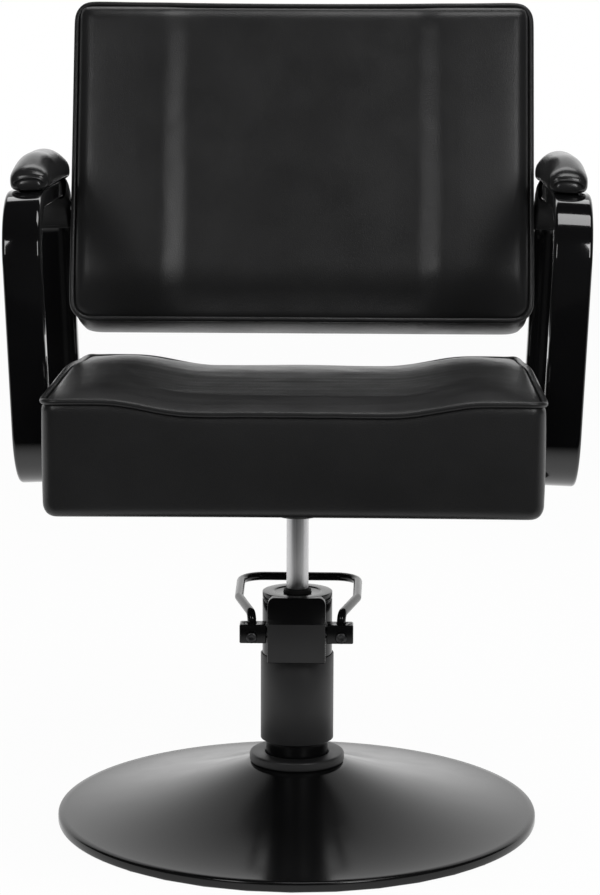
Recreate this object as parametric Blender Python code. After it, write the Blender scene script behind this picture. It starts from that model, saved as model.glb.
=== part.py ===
"""Hairdressing chair on a hydraulic pump: round trumpet base, pump with foot pedal, upholstered seat
and back, and two closed-loop arm frames with pads.

The front of the chair faces -Y, up is +Z, and the origin is on the floor, on the pump's axis.
"""
import math

import bmesh
import bpy
from mathutils import Matrix, Vector

MM = 0.001

# Fits
CLEAR = 0.3 * MM
BOSS_CLEAR = 1 * MM

# Base
BASE_RADIUS = 262.5 * MM
FLOOR_PAD_THICK = 2.5 * MM
BASE_PLATE_THICK = 6 * MM
SHELL_WALL = 2 * MM
SHELL_HEIGHT = 63 * MM
SHELL_FLARE = 1.55
SKIRT_LIFT = 0.8 * MM
COLLAR_WIDTH = 17.7 * MM
COLLAR_THICK = 10.8 * MM
FOOT_WIDTH = 28 * MM
FOOT_THICK = 10 * MM
FOOT_BOLT_RADIUS = 4 * MM
FOOT_BOLT_HEAD = 3 * MM
FOOT_BOLT_HEAD_RADIUS = 7.6 * MM
FOOT_BOLTS = 3

# Pump
ROD_RADIUS = 12 * MM
BUSH_WALL = 2.7 * MM
BUSH_LENGTH = 28 * MM
CYLINDER_WALL = 2.3 * MM
BARREL_RADIUS = 7.6 * MM
BORE_GAP = 0.8 * MM
HOUSING_WALL = 4.2 * MM
NECK_STEP = 4.2 * MM
NECK_WALL = 4 * MM
NECK_SHOW = 15.6 * MM
SLEEVE_WALL = 1.5 * MM
SLEEVE_LENGTH = 95.4 * MM
HOUSING_RISE = 61 * MM
CAP_THICK = 7.7 * MM
CAP_SPIGOT = 5 * MM
CAP_EDGE = 3 * MM
WIPER_RISE = 3.5 * MM
WIPER_SEAT = 4 * MM
PISTON_LENGTH = 20 * MM
SEAL_HEIGHT = 4 * MM
SEAL_DEPTH = 2.2 * MM
ROD_PIN_RADIUS = 6 * MM
ROD_PIN_LENGTH = 14 * MM
VALVE_HOLE = 4 * MM
LIFT_UP = 100 * MM
LIFT_DOWN = 50 * MM
END_GAP = 4 * MM

# Pedal and its pump element
SHAFT_RADIUS = 6 * MM
SHAFT_RISE = 31.5 * MM
SHAFT_STANDOFF = 1.8 * MM
BOX_HALF = 31.2 * MM
BOX_WALL = 2 * MM
BOX_FRONT = 14 * MM
BOX_FACE = 42.5 * MM
BOX_LEAN = 14 * MM
BOX_CORNER = 7 * MM
WINDOW_SILL = 8 * MM
WINDOW_HEAD = 9 * MM
BLOCK_SIZE = 20.5 * MM
BLOCK_LENGTH = 29 * MM
BLOCK_GAP = 1 * MM
BLOCK_EDGE = 1.2 * MM
SHAFT_ENGAGE = 9 * MM
BAR_RADIUS = 4.8 * MM
BAR_INSET = 13 * MM
BAR_SINK = 8 * MM
BAR_RISE = 20.5 * MM
BAR_WAIST = 62 * MM
BAR_HALF = 66 * MM
BAR_WAIST_REACH = 80 * MM
BAR_REACH = 175 * MM
BAR_TILT = 3.5 * MM
BAR_BEND = 28 * MM
BAR_SWEEP = 60 * MM
BAR_NECK_BEND = 10 * MM
GRUB_RADIUS = 4 * MM
GRUB_HEAD_RADIUS = 6.3 * MM
GRUB_HEAD = 3 * MM
GRUB_DROP = 3.5 * MM
ROCKER_WIDTH = 14 * MM
ROCKER_WALL = 2.3 * MM
ROCKER_TIP = 4.5 * MM
ROCKER_TOP = 3 * MM
PLUNGER_RADIUS = 4 * MM
PLUNGER_HEAD_RADIUS = 7.2 * MM
PLUNGER_HEAD = 3 * MM
PLUNGER_DEPTH = 40 * MM
SPRING_LENGTH = 26 * MM
SPRING_WIRE = 0.8 * MM
SPRING_TURNS = 4

# Seat
SEAT_BOTTOM = 379 * MM
SEAT_HALF = 250 * MM
SEAT_FRONT = -245 * MM
SEAT_REAR = 215 * MM
SEAT_EDGE = 118 * MM
SEAT_CORNER = 14 * MM
SEAT_CROWN = 8 * MM
SEAT_SCOOP = 12 * MM
SEAT_PULL = 4 * MM
SEAT_FALL = 14 * MM
SEAT_ROUND = 12 * MM
SEAT_SKIN = 18 * MM
BOARD_THICK = 15 * MM
RAIL_HEIGHT = 55 * MM
RAIL_WIDTH = 30 * MM
CHANNEL_INNER = 100 * MM
CHANNEL_OUTER = 190 * MM
CHANNEL_STEPS = 4
SHOULDER = 32 * MM
DOME_SOFT = 60 * MM
WELT_RADIUS = 3.2 * MM
WELT_NOTCH = 5 * MM
DUST_THICK = 1.2 * MM
DUST_INSET = 24 * MM
MOUNT_HALF_X = 95 * MM
MOUNT_HALF_Y = 75 * MM
MOUNT_THICK = 6 * MM
MOUNT_CORNER = 14 * MM
MOUNT_BOLT_EDGE = 20 * MM
MOUNT_BOLT_RADIUS = 4 * MM
MOUNT_BOLT_HEAD_RADIUS = 6.8 * MM
MOUNT_BOLT_HEAD = 5.2 * MM
MOUNT_BOLT_GRIP = 12 * MM
HUB_LENGTH = 34 * MM
HUB_WALL = 11 * MM
HUB_ROOF = 3 * MM
ROD_TAPER = 1.5 * MM

# Arms
ARM_GAP = 5 * MM
ARM_DROP = 2 * MM
ARM_HEIGHT = 310 * MM
ARM_FRONT = -100 * MM
ARM_REAR = 225 * MM
ARM_FLARE = math.radians(2.36)
TUBE_WIDTH = 40 * MM
TUBE_DEPTH = 20 * MM
TUBE_WALL = 1.6 * MM
TUBE_EDGE = 2.5 * MM
BEND_TOP = 65 * MM
BEND_BOTTOM = 50 * MM
BOSS_RADIUS = 6.8 * MM
ARM_BOLT_RADIUS = 4 * MM
ARM_BOLT_HEAD_RADIUS = 6.8 * MM
ARM_BOLT_HEAD = 4.5 * MM
ARM_BOLT_GRIP = 22 * MM
SEAT_BOLT_FRONT = -20 * MM
SEAT_BOLT_REAR = 140 * MM
BACK_BOLT_DROP = 31 * MM
BACK_BOLT_TURN = math.radians(40)
PAD_HALF = 23 * MM
PAD_FRONT = -45 * MM
PAD_REAR = 178 * MM
PAD_EDGE = 17 * MM
PAD_CROWN = 11 * MM
PAD_CORNER = 15 * MM
PAD_TUCK = 6 * MM
PAD_ROUND = 8 * MM
PAD_SHIFT = 5 * MM
STRIP_HALF = 14 * MM
STRIP_THICK = 3 * MM
STRIP_INSET = 20 * MM
PAD_SCREW_RADIUS = 2.5 * MM
PAD_SCREW_HEAD_RADIUS = 4.5 * MM
PAD_SCREW_HEAD = 3 * MM
PAD_SCREW_GRIP = 2.5 * MM
PAD_SCREW_INSET = 70 * MM

# Back
BACK_Y = 142 * MM
BACK_RISE = 35 * MM
BACK_LENGTH = 366 * MM
BACK_THICK = 70 * MM
BACK_RECLINE = math.radians(16)
BACK_SIDE_GAP = 0.8 * MM
BACK_CORNER = 26 * MM
BACK_CROWN = 16 * MM
BACK_SCOOP = 10 * MM
BACK_PULL = 4.5 * MM
BACK_TAPER = 4 * MM
BACK_SKIN = 14 * MM
BACK_FOAM = 14 * MM
BACK_BOARD = 10 * MM
BACK_BOARD_INSET = 2 * MM
BACK_RAIL_WIDTH = 34 * MM
REAR_PANEL_THICK = 9 * MM
REAR_PANEL_CROWN = 4 * MM
REAR_PANEL_ROUND = 3 * MM

# Facets and rounded edges
HEAD_FLAT = 0.8
HEAD_SHOULDER = 0.7
ARC_MIDDLE = 1 - math.sqrt(0.5)
MERGE_DIST = 1e-6
ROUND_SIDES = 24
BASE_SIDES = 36
FASTENER_SIDES = 8
ARC_STEPS = 4
SHELL_STEPS = 6
SPRING_STEPS = 8
SMOOTH_ANGLE = math.radians(35)

# Heights and radii worked out from the sizes above
plate_bottom = FLOOR_PAD_THICK + CLEAR
plate_top = plate_bottom + BASE_PLATE_THICK
plate_radius = BASE_RADIUS - SHELL_WALL - CLEAR
bush_outer = ROD_RADIUS + CLEAR + BUSH_WALL
cylinder_bore = bush_outer + CLEAR
cylinder_radius = cylinder_bore + CYLINDER_WALL
plunger_offset = cylinder_radius + CLEAR + BARREL_RADIUS
housing_bore = plunger_offset + BARREL_RADIUS + BORE_GAP
housing_radius = housing_bore + HOUSING_WALL
neck_radius = housing_radius - NECK_STEP
neck_bore = neck_radius - NECK_WALL
collar_radius = neck_radius + CLEAR + COLLAR_WIDTH
collar_top = SHELL_HEIGHT + CLEAR + COLLAR_THICK
sleeve_bottom = collar_top + NECK_SHOW
sleeve_top = sleeve_bottom + SLEEVE_LENGTH
housing_top = sleeve_top + HOUSING_RISE
cap_top = housing_top + CLEAR + CAP_THICK
housing_floor = plate_top + CLEAR + FOOT_THICK
barrel_shelf = sleeve_bottom + NECK_WALL
wiper_bottom = cap_top - WIPER_SEAT
bush_top = wiper_bottom - CLEAR
bush_bottom = bush_top - BUSH_LENGTH
piston_top = bush_bottom - LIFT_UP - END_GAP
piston_bottom = piston_top - PISTON_LENGTH
valve_top = piston_bottom - LIFT_DOWN - END_GAP
shaft_y = -(housing_radius + SHAFT_STANDOFF)
shaft_z = sleeve_top + SHAFT_RISE
box_bottom = sleeve_top + CLEAR
box_front = shaft_y - BOX_FRONT
block_start = BOX_HALF + BLOCK_GAP
bar_root = block_start + BLOCK_LENGTH - BAR_INSET
rocker_hub = SHAFT_RADIUS + CLEAR + ROCKER_WALL
plunger_top = shaft_z - rocker_hub - CLEAR
spring_top = plunger_top - PLUNGER_HEAD - CLEAR
barrel_top = spring_top - SPRING_LENGTH - CLEAR
dust_top = SEAT_BOTTOM - CLEAR
mount_top = dust_top - DUST_THICK - CLEAR
mount_bottom = mount_top - MOUNT_THICK
hub_bottom = mount_bottom - HUB_LENGTH
rod_top = mount_top - HUB_ROOF - CLEAR
seat_edge_z = SEAT_BOTTOM + SEAT_EDGE
arm_axis_z = SEAT_BOTTOM + ARM_DROP + TUBE_DEPTH / 2
arm_inner = SEAT_HALF + ARM_GAP
arm_front_line = ARM_FRONT + TUBE_DEPTH / 2
arm_rear_line = ARM_REAR - TUBE_DEPTH / 2
arm_top_line = ARM_HEIGHT - TUBE_DEPTH
back_bolt_low = arm_top_line - BEND_TOP - BACK_BOLT_DROP
back_z = seat_edge_z + BACK_RISE
back_low_z = back_z - BACK_THICK * math.sin(BACK_RECLINE)
arm_flare_low = math.tan(ARM_FLARE) * (back_low_z - arm_axis_z)
back_half = arm_inner + arm_flare_low - WELT_RADIUS - BACK_SIDE_GAP + BACK_TAPER


def clear_scene():
    for item in list(bpy.data.objects):
        bpy.data.objects.remove(item, do_unlink=True)


def finish(name, colour, roughness, metallic):
    """One surface finish as a Principled BSDF."""
    made = bpy.data.materials.new(name)
    made.use_nodes = True
    shader = made.node_tree.nodes["Principled BSDF"]
    shader.inputs["Base Color"].default_value = (*colour, 1)
    shader.inputs["Roughness"].default_value = roughness
    shader.inputs["Metallic"].default_value = metallic
    return made


def empty(name, location, rotation=(0, 0, 0)):
    """A reference frame that pieces are parented to."""
    made = bpy.data.objects.new(name, None)
    made.location = location
    made.rotation_euler = rotation
    bpy.context.collection.objects.link(made)
    return made


def add_part(name, bm, surface, parent=None, location=(0, 0, 0), rotation=(0, 0, 0)):
    """Turn a finished bmesh into a named piece of the chair."""
    bmesh.ops.remove_doubles(bm, verts=bm.verts, dist=MERGE_DIST)
    bmesh.ops.recalc_face_normals(bm, faces=bm.faces)
    mesh = bpy.data.meshes.new(name)
    bm.to_mesh(mesh)
    bm.free()
    mesh.shade_smooth()
    mesh.set_sharp_from_angle(angle=SMOOTH_ANGLE)
    part = bpy.data.objects.new(name, mesh)
    part.location = location
    part.rotation_euler = rotation
    part.parent = parent
    bpy.context.collection.objects.link(part)
    if surface:
        part.data.materials.append(surface)
    return part


def add_cutter(name, bm, targets, operation="DIFFERENCE", parent=None, location=(0, 0, 0),
               rotation=(0, 0, 0)):
    """A hidden shape that is cut from, or joined to, each target."""
    cutter = add_part(name, bm, None, parent, location, rotation)
    cutter.hide_render = True
    cutter.display_type = "WIRE"
    for target in targets:
        cut = target.modifiers.new(name, "BOOLEAN")
        cut.operation = operation
        cut.solver = "EXACT"
        cut.object = cutter
    return cutter


def turned(profile, sides=ROUND_SIDES):
    """Spin a profile of (radius, height) points round Z. It ends on the axis, or closes on itself."""
    bm = bmesh.new()
    rim = [bm.verts.new((radius, 0, height)) for radius, height in profile]
    pairs = list(zip(rim, rim[1:]))
    if min(radius for radius, height in profile) > 0:
        pairs.append((rim[-1], rim[0]))
    edges = [bm.edges.new(pair) for pair in pairs]
    bmesh.ops.spin(bm, geom=rim + edges, axis=(0, 0, 1), cent=(0, 0, 0), angle=2 * math.pi,
                   steps=sides, use_merge=True)
    return bm


def ring(inner, outer, low, high):
    """Profile of a plain ring."""
    return [(inner, low), (outer, low), (outer, high), (inner, high)]


def disc(radius, low, high):
    """Profile of a plain disc."""
    return [(0, low), (radius, low), (radius, high), (0, high)]


def rod_form(radius, length, sides=FASTENER_SIDES):
    """A plain round bar along Z, centred on its origin."""
    bm = bmesh.new()
    bmesh.ops.create_cone(bm, cap_ends=True, segments=sides, radius1=radius, radius2=radius, depth=length)
    return bm


def block_form(low, high):
    """A box between two corners."""
    low = Vector(low)
    high = Vector(high)
    bm = bmesh.new()
    bmesh.ops.create_cube(bm, size=1)
    bmesh.ops.scale(bm, verts=bm.verts, vec=high - low)
    bmesh.ops.translate(bm, verts=bm.verts, vec=(low + high) / 2)
    return bm


def slab(outline, low, high, place):
    """Extrude a closed outline of (a, b) points from low to high along the third direction."""
    bm = bmesh.new()
    face = bm.faces.new([bm.verts.new(place(a, b, low)) for a, b in outline])
    grown = bmesh.ops.extrude_face_region(bm, geom=[face])
    lift = Vector(place(0, 0, high)) - Vector(place(0, 0, low))
    bmesh.ops.translate(bm, verts=[v for v in grown["geom"] if isinstance(v, bmesh.types.BMVert)], vec=lift)
    return bm


def flat(a, b, c):
    """Outline in the XY plane, extruded along Z."""
    return (a, b, c)


def upright(a, b, c):
    """Outline in the XZ plane, extruded along Y."""
    return (a, c, b)


def sideways(a, b, c):
    """Outline in the YZ plane, extruded along X."""
    return (c, a, b)


def filleted(points, radii, closed=True):
    """Replace each corner of a path with an arc of its own radius."""
    path = []
    count = len(points)
    for index, (point, radius) in enumerate(zip(points, radii)):
        corner = Vector(point)
        if radius == 0 or (not closed and index in (0, count - 1)):
            path.append(corner)
            continue
        back = (Vector(points[index - 1]) - corner).normalized()
        ahead = (Vector(points[(index + 1) % count]) - corner).normalized()
        half = back.angle(ahead) / 2
        middle = corner + (back + ahead).normalized() * radius / math.sin(half)
        start = corner + back * radius / math.tan(half) - middle
        end = corner + ahead * radius / math.tan(half) - middle
        axis = start.cross(end).normalized()
        for step in range(ARC_STEPS + 1):
            turn = Matrix.Rotation(start.angle(end) * step / ARC_STEPS, 3, axis)
            path.append(middle + turn @ start)
    return path


def rounded_rectangle(half_a, half_b, radius):
    """Outline of a rectangle with round corners, as (a, b) points."""
    corners = [(-half_a, -half_b, 0), (half_a, -half_b, 0), (half_a, half_b, 0), (-half_a, half_b, 0)]
    return [(point.x, point.y) for point in filleted(corners, [radius] * 4)]


def channel_form(half_a, half_b, height, wall, floor, grow, place):
    """A board with a rail along two sides: a U section across a, extruded along b."""
    a = half_a + grow
    inner = half_a - wall - grow
    top = height + grow
    bed = floor + grow
    section = [(-a, -grow), (a, -grow), (a, top), (inner, top), (inner, bed), (-inner, bed), (-inner, top),
               (-a, top)]
    return slab(section, -half_b - grow, half_b + grow, place)


def bolt_form(head_radius, head_height, shank_radius, length, sides=FASTENER_SIDES):
    """A bolt along Z: its head below zero, its shank above."""
    profile = [(0, -head_height), (HEAD_FLAT * head_radius, -head_height),
               (head_radius, -HEAD_SHOULDER * head_height),
               (head_radius, 0), (shank_radius, 0), (shank_radius, length), (0, length)]
    return turned(profile, sides)


def tube_part(name, points, radius, surface, resolution, cyclic=False, parent=None):
    """A round bar or welt along a path, as a bevelled curve."""
    curve = bpy.data.curves.new(name, "CURVE")
    curve.dimensions = "3D"
    curve.bevel_depth = radius
    curve.bevel_resolution = resolution
    curve.use_fill_caps = not cyclic
    spline = curve.splines.new("POLY")
    spline.points.add(len(points) - 1)
    for spot, point in zip(spline.points, points):
        spot.co = (*point, 1)
    spline.use_cyclic_u = cyclic
    spline.use_smooth = True
    part = bpy.data.objects.new(name, curve)
    part.parent = parent
    bpy.context.collection.objects.link(part)
    curve.materials.append(surface)
    return part


def smooth_step(value):
    """Ease from 0 to 1."""
    value = min(max(value, 0), 1)
    return value * value * (3 - 2 * value)


def channel(a):
    """How far into the sunken middle panel a point is, across the chair: 1 in it, 0 on the bolsters."""
    return smooth_step((CHANNEL_OUTER - abs(a)) / (CHANNEL_OUTER - CHANNEL_INNER))


def channel_marks():
    """Grid lines across the chair that follow the sunken middle panel and its soft flanks."""
    flank = CHANNEL_OUTER - CHANNEL_INNER
    steps = [CHANNEL_INNER + flank * k / CHANNEL_STEPS for k in range(CHANNEL_STEPS + 1)]
    return [0, CHANNEL_INNER / 2] + steps


class PanelGrid:
    """Grid of a padded panel with round corners: its points, their outward directions and its rim."""

    def __init__(self, half_a, half_b, corner, marks_a, marks_b, pull_b=0):
        self.half_a = half_a
        self.half_b = half_b
        self.corner = corner
        self.pull_b = pull_b
        self.lines_a = self.lines(half_a, marks_a)
        self.lines_b = self.lines(half_b, marks_b)

    def lines(self, half, marks):
        inner = [mark for mark in marks if mark < half - self.corner]
        right = sorted({*inner, half - self.corner, half})
        left = [-mark for mark in reversed(right) if mark > 0]
        return left + right

    def outward(self, i, j):
        a = (i == len(self.lines_a) - 1) - (i == 0)
        b = (j == len(self.lines_b) - 1) - (j == 0)
        return Vector((a, b)).normalized()

    def point(self, i, j, outset=0):
        """A grid point, moved out from the rim by outset. Long edges draw in between their corners."""
        a = self.lines_a[i]
        b = self.lines_b[j]
        away = self.outward(i, j)
        if away.x and away.y:
            cut = self.corner * ARC_MIDDLE
            a -= cut * math.copysign(1, a)
            b -= cut * math.copysign(1, b)
        if away.y and not away.x:
            b -= math.copysign(self.pull_b, b) * (1 - (a / self.half_a) ** 2)
        return Vector((a, b)) + away * outset

    def rim(self):
        """Grid places round the rim, in order."""
        last_a = len(self.lines_a) - 1
        last_b = len(self.lines_b) - 1
        round_trip = [(i, 0) for i in range(last_a)] + [(last_a, j) for j in range(last_b)]
        round_trip += [(i, last_b) for i in range(last_a, 0, -1)]
        round_trip += [(0, j) for j in range(last_b, 0, -1)]
        return round_trip

    def dome(self, a, b, soft):
        """How far in from the rim a point is, eased from 0 on the rim to 1."""
        inset = min(self.half_a - abs(a), self.half_b - self.pull_b - abs(b))
        return math.sin(min(max(inset / soft, 0), 1) * math.pi / 2)


def padded_form(grid, height, levels, place):
    """A padded solid: a domed panel, rings down its sides and a flat closing face.

    height(a, b) is the panel's height, and each level is (outset, height from the rim's height).
    """
    bm = bmesh.new()
    panel = {}
    for i in range(len(grid.lines_a)):
        for j in range(len(grid.lines_b)):
            spot = grid.point(i, j)
            panel[i, j] = bm.verts.new(place(spot.x, spot.y, height(spot.x, spot.y)))
    for i in range(len(grid.lines_a) - 1):
        for j in range(len(grid.lines_b) - 1):
            bm.faces.new([panel[i, j], panel[i + 1, j], panel[i + 1, j + 1], panel[i, j + 1]])
    rim = grid.rim()
    above = [panel[place_ij] for place_ij in rim]
    for outset, drop in levels:
        below = []
        for i, j in rim:
            foot = grid.point(i, j)
            spot = grid.point(i, j, outset)
            below.append(bm.verts.new(place(spot.x, spot.y, drop(height(foot.x, foot.y)))))
        for k in range(len(rim)):
            following = (k + 1) % len(rim)
            bm.faces.new([above[k], below[k], below[following], above[following]])
        above = below
    bm.faces.new(above)
    return bm


def welt_path(grid, height, place, taper=0):
    """The line of the corded seam round a padded panel."""
    path = []
    for i, j in grid.rim():
        foot = grid.point(i, j)
        spot = grid.point(i, j, WELT_NOTCH - taper)
        path.append(Vector(place(spot.x, spot.y, height(foot.x, foot.y))))
    return path


def least_gap(points, radius, apart):
    """Smallest clear space between stretches of a tube that are at least so many points apart."""
    nearest = min((points[i] - points[j]).length for i in range(len(points))
                  for j in range(i + apart, len(points)))
    return nearest - 2 * radius


clear_scene()
satin_black = finish("satin black powder coat", (0.016, 0.016, 0.017), 0.38, 0.0)
gloss_black = finish("gloss black enamel", (0.008, 0.008, 0.009), 0.12, 0.0)
leatherette = finish("black leatherette", (0.018, 0.018, 0.019), 0.5, 0.0)
bright_steel = finish("bright ground steel", (0.62, 0.62, 0.63), 0.2, 1.0)
zinc = finish("zinc plated steel", (0.55, 0.55, 0.56), 0.35, 1.0)
plain_steel = finish("plain steel", (0.32, 0.32, 0.33), 0.45, 1.0)
cast_iron = finish("cast iron", (0.03, 0.03, 0.032), 0.5, 0.0)
bronze = finish("bearing bronze", (0.55, 0.36, 0.16), 0.35, 1.0)
rubber = finish("black rubber", (0.012, 0.012, 0.012), 0.7, 0.0)
plywood = finish("birch plywood", (0.55, 0.4, 0.24), 0.7, 0.0)
dust_cloth = finish("black dust cloth", (0.02, 0.02, 0.02), 0.9, 0.0)


# Base: a rubber sheet, a heavy steel plate and a spun steel shell over it
def shell_height(radius):
    """Outer height of the trumpet shell: low at the rim, steeper towards the neck."""
    rim_z = plate_top + CLEAR + SHELL_WALL
    share = (BASE_RADIUS - radius) / (BASE_RADIUS - collar_radius)
    return rim_z + (SHELL_HEIGHT - rim_z) * share ** SHELL_FLARE


def make_base():
    add_part("floor_pad", turned(disc(plate_radius, 0, FLOOR_PAD_THICK), BASE_SIDES), rubber)
    plate = turned(disc(plate_radius, plate_bottom, plate_top), BASE_SIDES)
    base_plate = add_part("base_plate", plate, plain_steel)
    hole = neck_radius + CLEAR
    run = BASE_RADIUS - SHELL_WALL - collar_radius
    steps = [collar_radius + run * k / SHELL_STEPS for k in range(SHELL_STEPS + 1)]
    outer = [(hole, SHELL_HEIGHT)] + [(radius, shell_height(radius)) for radius in steps]
    skirt = [(BASE_RADIUS, plate_top), (BASE_RADIUS, SKIRT_LIFT), (BASE_RADIUS - SHELL_WALL, SKIRT_LIFT)]
    under = [(radius, shell_height(radius) - SHELL_WALL) for radius in reversed(steps)]
    shell = turned(outer + skirt + under + [(hole, SHELL_HEIGHT - SHELL_WALL)], BASE_SIDES)
    add_part("base_shell", shell, satin_black)
    chamfer = COLLAR_THICK / 4
    low = SHELL_HEIGHT + CLEAR
    collar = [(hole, low), (collar_radius, low), (collar_radius, collar_top - chamfer),
              (collar_radius - chamfer, collar_top), (hole, collar_top)]
    add_part("base_collar", turned(collar), satin_black)
    return base_plate


def make_pump_body():
    foot_radius = neck_radius + FOOT_WIDTH
    foot_bottom = plate_top + CLEAR
    profile = [(0, foot_bottom), (foot_radius, foot_bottom), (foot_radius, housing_floor),
               (neck_radius, housing_floor), (neck_radius, sleeve_bottom), (housing_radius, sleeve_bottom),
               (housing_radius, housing_top), (housing_bore, housing_top), (housing_bore, barrel_shelf),
               (neck_bore, barrel_shelf), (neck_bore, housing_floor), (0, housing_floor)]
    housing = add_part("pump_housing", turned(profile), cast_iron)
    window_half = BOX_HALF - BOX_WALL
    window = block_form((-window_half, 2 * shaft_y, sleeve_top + WINDOW_SILL),
                        (window_half, shaft_y / 2, housing_top - WINDOW_HEAD))
    add_cutter("cut_housing_window", window, [housing])
    inner = housing_radius + CLEAR
    add_part("pump_sleeve", turned(ring(inner, inner + SLEEVE_WALL, sleeve_bottom, sleeve_top)), satin_black)
    spigot = housing_bore - CLEAR
    bore = bush_outer + CLEAR
    low = housing_top + CLEAR
    cap = [(bore, low - CAP_SPIGOT), (spigot, low - CAP_SPIGOT), (spigot, low), (housing_radius, low),
           (housing_radius, cap_top - CAP_EDGE), (housing_radius - CAP_EDGE / 3, cap_top - CAP_EDGE / 3),
           (housing_radius - CAP_EDGE, cap_top), (bore, cap_top)]
    add_part("pump_cap", turned(cap), satin_black)
    lip = cap_top + WIPER_RISE
    wiper = [(ROD_RADIUS + CLEAR, wiper_bottom), (bush_outer, wiper_bottom), (bush_outer, lip - CAP_EDGE / 2),
             (ROD_RADIUS + 2 * CLEAR, lip), (ROD_RADIUS + CLEAR, lip)]
    add_part("rod_wiper_seal", turned(wiper), rubber)
    add_part("rod_guide_bush", turned(ring(ROD_RADIUS + CLEAR, bush_outer, bush_bottom, bush_top)), bronze)
    cylinder_foot = housing_floor + CLEAR
    cylinder_top = housing_top - CAP_SPIGOT
    add_part("main_cylinder", turned(ring(cylinder_bore, cylinder_radius, cylinder_foot, cylinder_top)),
             plain_steel)
    add_part("foot_valve", turned(ring(VALVE_HOLE, bush_outer, cylinder_foot, valve_top)), plain_steel)
    return housing


def make_foot_bolts(base_plate, housing):
    """Bolts up through the base plate into the pump's foot."""
    circle = neck_radius + FOOT_WIDTH / 2
    seat = plate_bottom + CLEAR + FOOT_BOLT_HEAD
    length = plate_top + FOOT_THICK - seat
    for number in range(FOOT_BOLTS):
        angle = math.pi / 2 + 2 * math.pi * number / FOOT_BOLTS
        spot = (circle * math.cos(angle), circle * math.sin(angle), seat)
        bolt = bolt_form(FOOT_BOLT_HEAD_RADIUS, FOOT_BOLT_HEAD, FOOT_BOLT_RADIUS, length)
        add_part(f"foot_bolt_{number + 1}", bolt, zinc, location=spot)
        room = bolt_form(FOOT_BOLT_HEAD_RADIUS + CLEAR, FOOT_BOLT_HEAD + 2 * CLEAR, FOOT_BOLT_RADIUS + CLEAR,
                         length + CLEAR)
        bmesh.ops.translate(room, verts=[v for v in room.verts if v.co.z == 0], vec=(0, 0, CLEAR))
        add_cutter(f"cut_foot_bolt_{number + 1}", room, [base_plate, housing], location=spot)


# Front box over the pedal shaft
def box_form(inset, back):
    """Box with round upper corners and a front that leans back above its face, set in all round by inset."""
    half = BOX_HALF - inset
    low = box_bottom + inset
    top = cap_top - inset
    radius = BOX_CORNER - inset
    corners = [(-half, low, 0), (half, low, 0), (half, top, 0), (-half, top, 0)]
    outline = [(point.x, point.y) for point in filleted(corners, [0, 0, radius, radius])]
    bm = slab(outline, box_front + inset, back, upright)
    bend_z = sleeve_top + BOX_FACE
    lean = Vector((0, BOX_LEAN, cap_top - bend_z)).normalized()
    normal = Vector((0, -lean.z, lean.y))
    on_plane = Vector((0, box_front, bend_z)) - normal * inset
    cut = bmesh.ops.bisect_plane(bm, geom=bm.verts[:] + bm.edges[:] + bm.faces[:], dist=MERGE_DIST,
                                 plane_co=on_plane, plane_no=normal, clear_outer=True)
    bmesh.ops.edgenet_fill(bm, edges=[e for e in cut["geom_cut"] if isinstance(e, bmesh.types.BMEdge)])
    return bm


def make_front_box():
    box = add_part("pump_front_box", box_form(0, -neck_radius / 2), satin_black)
    add_cutter("cut_box_hollow", box_form(BOX_WALL, 0), [box])
    wall = rod_form(housing_radius + CLEAR, 2 * cap_top, ROUND_SIDES)
    bmesh.ops.rotate(wall, verts=wall.verts, cent=(0, 0, 0), matrix=Matrix.Rotation(math.pi / 2, 3, "Z"))
    add_cutter("cut_box_round", wall, [box])
    add_cutter("cut_box_shaft", rod_form(SHAFT_RADIUS + CLEAR, 4 * BOX_HALF, ROUND_SIDES), [box],
               location=(0, shaft_y, shaft_z), rotation=(0, math.pi / 2, 0))


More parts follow.
